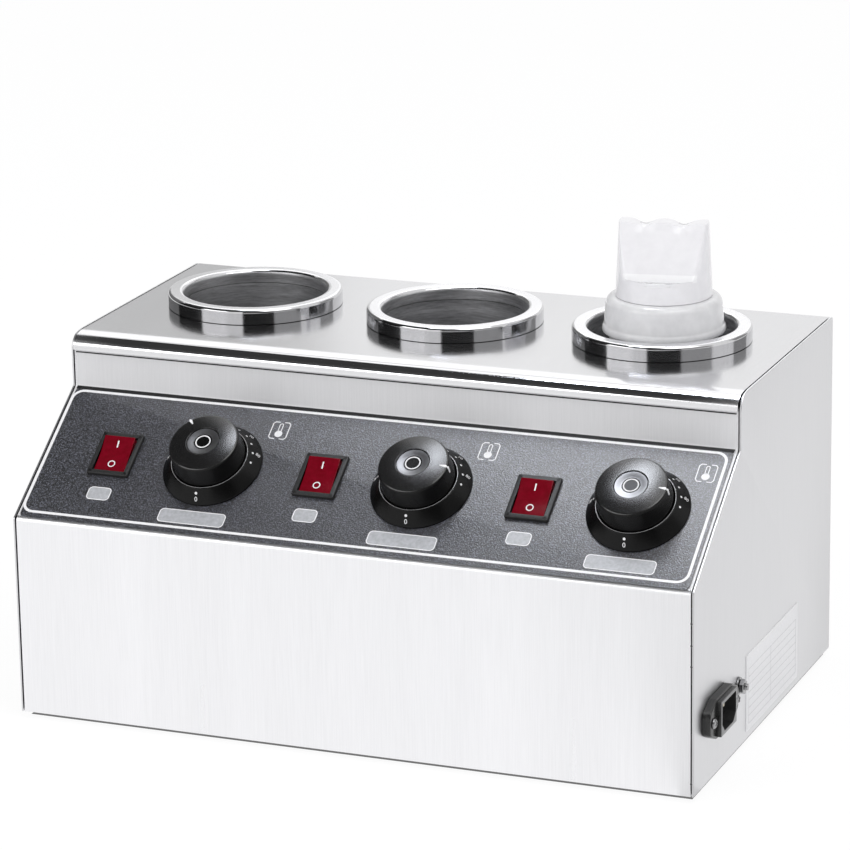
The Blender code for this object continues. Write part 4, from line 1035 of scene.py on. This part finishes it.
def makeHood():
    low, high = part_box("nozzle_hood")
    middle = centreOf("nozzle_hood")
    h = hoodSizes
    radius = h["foot"]
    tall = high.z - low.z
    ledgeTop = h["ledge"] + h["ledgeDrop"]
    lip = radius - 0.0009
    # heights up the hood, how far its flat sides may reach from the middle there, and the dip of the ledge
    levels = [(0.0, None, 0), (0.004, None, 0), (0.008, None, 0), (h["ledge"] - 0.0006, None, 0),
              (h["ledge"], radius - 0.0003, 0), (h["ledge"] + 0.0001, lip, 0),
              (h["ledge"] + 0.0002, lip - 0.0007, h["dip"]), (h["ledge"] + 0.0006, h["flatLow"] + 0.0022, h["dip"]),
              (ledgeTop - 0.0010, h["flatLow"] + 0.0012, 0)]
    for step in range(h["levels"] + 1):
        share = step / h["levels"]
        levels.append((ledgeTop + (tall - ledgeTop) * share, h["flatLow"] + (h["flatHigh"] - h["flatLow"]) * share, 0))
    bm = bmesh.new()
    ring = bmesh.ops.create_circle(bm, cap_ends=False, segments=160, radius=1.0)["verts"]
    edges = bm.edges[:]
    rows = [ring]
    for _ in levels[1:]:
        grown = bmesh.ops.extrude_edge_only(bm, edges=edges)["geom"]
        rows.append([item for item in grown if isinstance(item, bmesh.types.BMVert)])
        edges = [item for item in grown if isinstance(item, bmesh.types.BMEdge) and all(v in set(rows[-1]) for v in item.verts)]
    grown = bmesh.ops.extrude_edge_only(bm, edges=edges)["geom"]
    ridge = [item for item in grown if isinstance(item, bmesh.types.BMVert)]
    lean = (radius - h["topHalf"]) / tall

    def valleyAt(x):
        return sum(math.exp(-((x - way * h["valleyX"]) / h["valleyWide"]) ** 2) for way in (-1, 1))

    for (level, flat, dip), row in zip(levels, rows):
        half = radius - lean * level
        fade = max(0.0, 1 - (tall - level) / h["fluteFade"])
        notch = max(0.0, 1 - (tall - level) / 0.006)
        for vert in row:
            x, y = vert.co.x * half, vert.co.y * half
            reach = abs(y)
            if flat and reach > 1e-9:
                y = math.copysign(smoothMin(reach, flat, h["cornerRound"] if level >= ledgeTop else 0.0006), y)
                y -= math.copysign(h["flute"] * fade * valleyAt(x) * min(1.0, abs(y) / 0.003), y)
            drop = dip * min(1.0, (reach - abs(y)) / 0.0012)
            vert.co = (x, y, level - h["valley"] * valleyAt(x) * notch - drop)
    for vert in ridge:
        x = vert.co.x * h["topHalf"] * 0.985
        vert.co = (x, 0, tall - h["valley"] * valleyAt(x))
    weld(bm)
    rimEdges = [e for e in bm.edges if e.is_boundary and all(v.co.z > 0.001 for v in e.verts)]
    if rimEdges:
        bmesh.ops.holes_fill(bm, edges=rimEdges, sides=0)
    bmesh.ops.recalc_face_normals(bm, faces=bm.faces)
    # painted shade on the ledge's floor, which is a little darker, and painted highlights on the rims round it
    for face in bm.faces:
        spot = face.calc_center_median()
        reach = abs(spot.y)
        if h["ledge"] - 0.0008 < spot.z < h["ledge"] + 0.0003 and reach > lip - 0.0009 and face.normal.z > 0.2:
            face.material_index = 2
        elif h["ledge"] - h["dip"] - 0.0002 < spot.z < h["ledge"] + 0.0008 and reach > h["flatLow"] + 0.0020:
            face.material_index = 1 if face.normal.z > 0.7 else 0
        elif h["ledge"] - h["dip"] < spot.z < ledgeTop + 0.0003 and h["flatLow"] - 0.0003 < reach < h["flatLow"] + 0.0023:
            face.material_index = 2
    place = Matrix.Translation((middle.x, middle.y, low.z)) @ Matrix.Rotation(math.radians(h["turn"]), 4, "Z")
    piece("nozzleHood", moved(sheetWall(bm, h["wall"]), place), [hoodPlastic, hoodLedgeShade, hoodRimHighlight], "hood",
          ["nozzle_hood"], 50)


makeBottle()
makeHood()
print("bottle made")


# Feet, and finishes for the CAD nodes that stay
def makeFoot(number):
    low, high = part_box(f"foot_{number}")
    middle = centreOf(f"foot_{number}")
    profile = [(0, 0.0), (0.0090, 0.0, 0.0010), (0.0095, 0.0037, 0.0004), (0.0030, 0.0037, 0.0002), (0.0030, 0.0053),
               (0.0042, 0.0053, 0.0003), (0.0030, high.z, 0.0006), (0, high.z)]
    piece(f"rubberFoot_{number}", moved(turned(profile, 48), Matrix.Translation((middle.x, middle.y, 0))), rubberFoot,
          "cabinet", [f"foot_{number}"], 36)


for number in (1, 2, 3, 4):
    makeFoot(number)

nodeFinishes = {"rear_panel": steelSide, "base_plate": steelSide, "heater_band": micaWrap, "sensor_bulb": brassNickelled,
                "thermostat_shaft": steelPolished, "thermostat": bakeliteBrown, "terminal_block": nylonBlock,
                "wiring_loom": wireSleeve}
for name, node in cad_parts.items():
    start = next((key for key in nodeFinishes if name.startswith(key)), None)
    if start:
        for holder in node.material_slots:
            holder.material = nodeFinishes[start]
        if not node.material_slots:
            node.data.materials.append(nodeFinishes[start])
print("CAD nodes finished")


# Floor, studio and camera
studio = {"floorSize": 30.0, "world": 1.0, "worldDiffuse": 0.72}


def makeFloor():
    bm = bmesh.new()
    bmesh.ops.create_grid(bm, x_segments=8, y_segments=8, size=studio["floorSize"])
    mesh = bpy.data.meshes.new("floor")
    bm.to_mesh(mesh)
    bm.free()
    floor = bpy.data.objects.new("floor", mesh)
    bpy.context.scene.collection.objects.link(floor)
    made = bpy.data.materials.new("studioFloor")
    made.use_nodes = True
    tree = made.node_tree
    tree.nodes.remove(tree.nodes["Principled BSDF"])
    rays = addNode(tree, "LightPath")
    seen = addNode(tree, "Math", {"operation": "MAXIMUM"})
    tree.links.new(rays.outputs["Is Camera Ray"], seen.inputs[0])
    tree.links.new(rays.outputs["Is Glossy Ray"], seen.inputs[1])
    also = addNode(tree, "Math", {"operation": "MAXIMUM"})
    tree.links.new(seen.outputs[0], also.inputs[0])
    tree.links.new(rays.outputs["Is Transmission Ray"], also.inputs[1])
    much = addNode(tree, "Math", {"operation": "MULTIPLY"})
    tree.links.new(also.outputs[0], much.inputs[0])
    much.inputs[1].default_value = 0.86
    dull = addNode(tree, "BsdfDiffuse", Color=(0.92, 0.92, 0.93, 1))
    glow = addNode(tree, "Emission", Color=(1, 1, 1, 1), Strength=1.03)
    both = addNode(tree, "MixShader")
    tree.links.new(much.outputs[0], both.inputs[0])
    tree.links.new(dull.outputs[0], both.inputs[1])
    tree.links.new(glow.outputs[0], both.inputs[2])
    tree.links.new(both.outputs[0], tree.nodes["Material Output"].inputs["Surface"])
    mesh.materials.append(made)


def makeWorld():
    world = bpy.data.worlds.new("studioWorld")
    bpy.context.scene.world = world
    world.use_nodes = True
    tree = world.node_tree
    background = tree.nodes["Background"]
    background.inputs["Color"].default_value = (1, 1, 1, 1)
    rays = addNode(tree, "LightPath")
    level = addNode(tree, "MapRange", To_Min=studio["world"], To_Max=studio["worldDiffuse"])
    tree.links.new(rays.outputs["Is Diffuse Ray"], level.inputs["Value"])
    tree.links.new(level.outputs["Result"], background.inputs["Strength"])


def addCard(name, centre, size, turn, shade):
    # A dark card that only mirrors see, as a photographer's black flag
    bm = bmesh.new()
    bmesh.ops.create_grid(bm, x_segments=1, y_segments=1, size=0.5)
    mesh = bpy.data.meshes.new(name)
    bm.to_mesh(mesh)
    bm.free()
    card = bpy.data.objects.new(name, mesh)
    bpy.context.scene.collection.objects.link(card)
    card.matrix_world = Matrix.Translation(centre) @ Matrix(turn).to_4x4() @ Matrix.Diagonal((*size, 1, 1))
    card.visible_camera = False
    card.visible_diffuse = False
    card.visible_shadow = False
    made = bpy.data.materials.new(name)
    made.use_nodes = True
    tree = made.node_tree
    tree.nodes.remove(tree.nodes["Principled BSDF"])
    glow = addNode(tree, "Emission", Color=(shade, shade, shade, 1), Strength=1.0)
    tree.links.new(glow.outputs[0], tree.nodes["Material Output"].inputs["Surface"])
    mesh.materials.append(made)


def addLamp(name, place, aim, size, power, spread=180.0, diffuse=True, tint=(1, 1, 1)):
    lamp = bpy.data.lights.new(name, "AREA")
    lamp.color = tint
    lamp.shape = "RECTANGLE"
    lamp.size, lamp.size_y = size
    lamp.energy = power
    holder = bpy.data.objects.new(name, lamp)
    bpy.context.scene.collection.objects.link(holder)
    holder.location = place
    holder.rotation_euler = (Vector(aim) - Vector(place)).to_track_quat("-Z", "Y").to_euler()
    lamp.spread = math.radians(spread)
    holder.visible_diffuse = diffuse
    holder.visible_camera = False


def standing(azimuth, distance, height, width, tall):
    # A card that stands upright at an azimuth from the front, facing the object
    a = math.radians(azimuth)
    centre = (math.sin(a) * distance, -math.cos(a) * distance, height)
    turn = Matrix.Rotation(a, 3, "Z") @ Matrix.Rotation(math.pi / 2, 3, "X")
    return centre, (width, tall), turn


makeFloor()
makeWorld()
lying = Matrix.Rotation(math.radians(-47.5), 3, "Z")
edgeMiddle, backward, along = Vector((-0.48, 0.175, 1.5)), Vector((0.737, 0.676, 0)), Vector((0.676, -0.737, 0))
addCard("cardOverhead", edgeMiddle - backward * 0.96 + along * 0.35, (3.2, 1.92), lying, 0.045)
addCard("cardGlow", edgeMiddle + backward * 0.42 + along * 0.30, (1.5, 0.84), lying, 1.35)
for name, start, stop, shade in (("cardFront", 3, 46, 0.015), ("cardRight", 46, 86, 0.42), ("cardFarRight", 120, 150, 0.35),
                                 ("cardLeft", -98, -54, 0.015), ("cardFarLeft", -142, -98, 0.20)):
    width = 2 * 1.8 * math.tan(math.radians(stop - start) / 2)
    addCard(name, *standing((start + stop) / 2, 1.8, 0.75, width, 1.2), shade)
addCard("cardBack", *standing(202, 2.0, 1.60, 3.0, 1.2), 1.4)
addCard("cardBackLeft", *standing(227, 2.8, 0.8, 2.3, 1.2), 0.62)
addCard("cardFloor", (0.33, -0.66, 0.002), (0.62, 0.95), Matrix.Rotation(math.radians(-19.3), 3, "Z"), 0.78)
# painted shadow: a dark card on the floor under the cabinet, seen by the camera through the gap below the sheets
addCard("floorShadowCard", (-0.00355, 0.0014, 0.0006), (0.3944, 0.2442), Matrix.Identity(3), 0.16)
bpy.data.objects["floorShadowCard"].visible_camera = True
bpy.data.objects["floorShadowCard"].visible_glossy = False
addLamp("topLamp", (0.8, -0.5, 2.0), (0.0, 0.0, 0.1), (1.2, 1.2), 12)
sheenSpot = edgeMiddle + backward * 0.40 + along * 0.34
addLamp("sheenLamp", sheenSpot + Vector((0, 0, 0.02)), sheenSpot + Vector((0.36, -0.052, -0.932)), (0.75, 0.75), 2.0, 50.0, False,
        (0.88, 0.92, 1.0))
addLamp("keyLamp", (-1.9, -2.5, 2.1), (0, 0, 0.1), (2.4, 1.4), 30)

camera = {"place": (0.85023, -2.11558, 0.83310), "yaw": 22.025, "pitch": 16.520, "roll": -0.949, "lens": 178.1}


def makeCamera():
    yaw, pitch, roll = (math.radians(camera[key]) for key in ("yaw", "pitch", "roll"))
    ahead = Vector((-math.sin(yaw) * math.cos(pitch), math.cos(yaw) * math.cos(pitch), -math.sin(pitch)))
    right = ahead.cross(Vector((0, 0, 1))).normalized()
    up = right.cross(ahead)
    across = math.cos(roll) * right + math.sin(roll) * up
    upward = math.cos(roll) * up - math.sin(roll) * right
    data = bpy.data.cameras.new("camera")
    data.lens = camera["lens"]
    data.sensor_width = 36.0
    data.clip_start, data.clip_end = 0.1, 100.0
    holder = bpy.data.objects.new("camera", data)
    bpy.context.scene.collection.objects.link(holder)
    rows = [(across[i], upward[i], -ahead[i], camera["place"][i]) for i in range(3)]
    holder.matrix_world = Matrix((*rows, (0, 0, 0, 1)))
    bpy.context.scene.camera = holder


makeCamera()
bpy.context.scene.view_settings.view_transform = "Standard"
print("studio made")
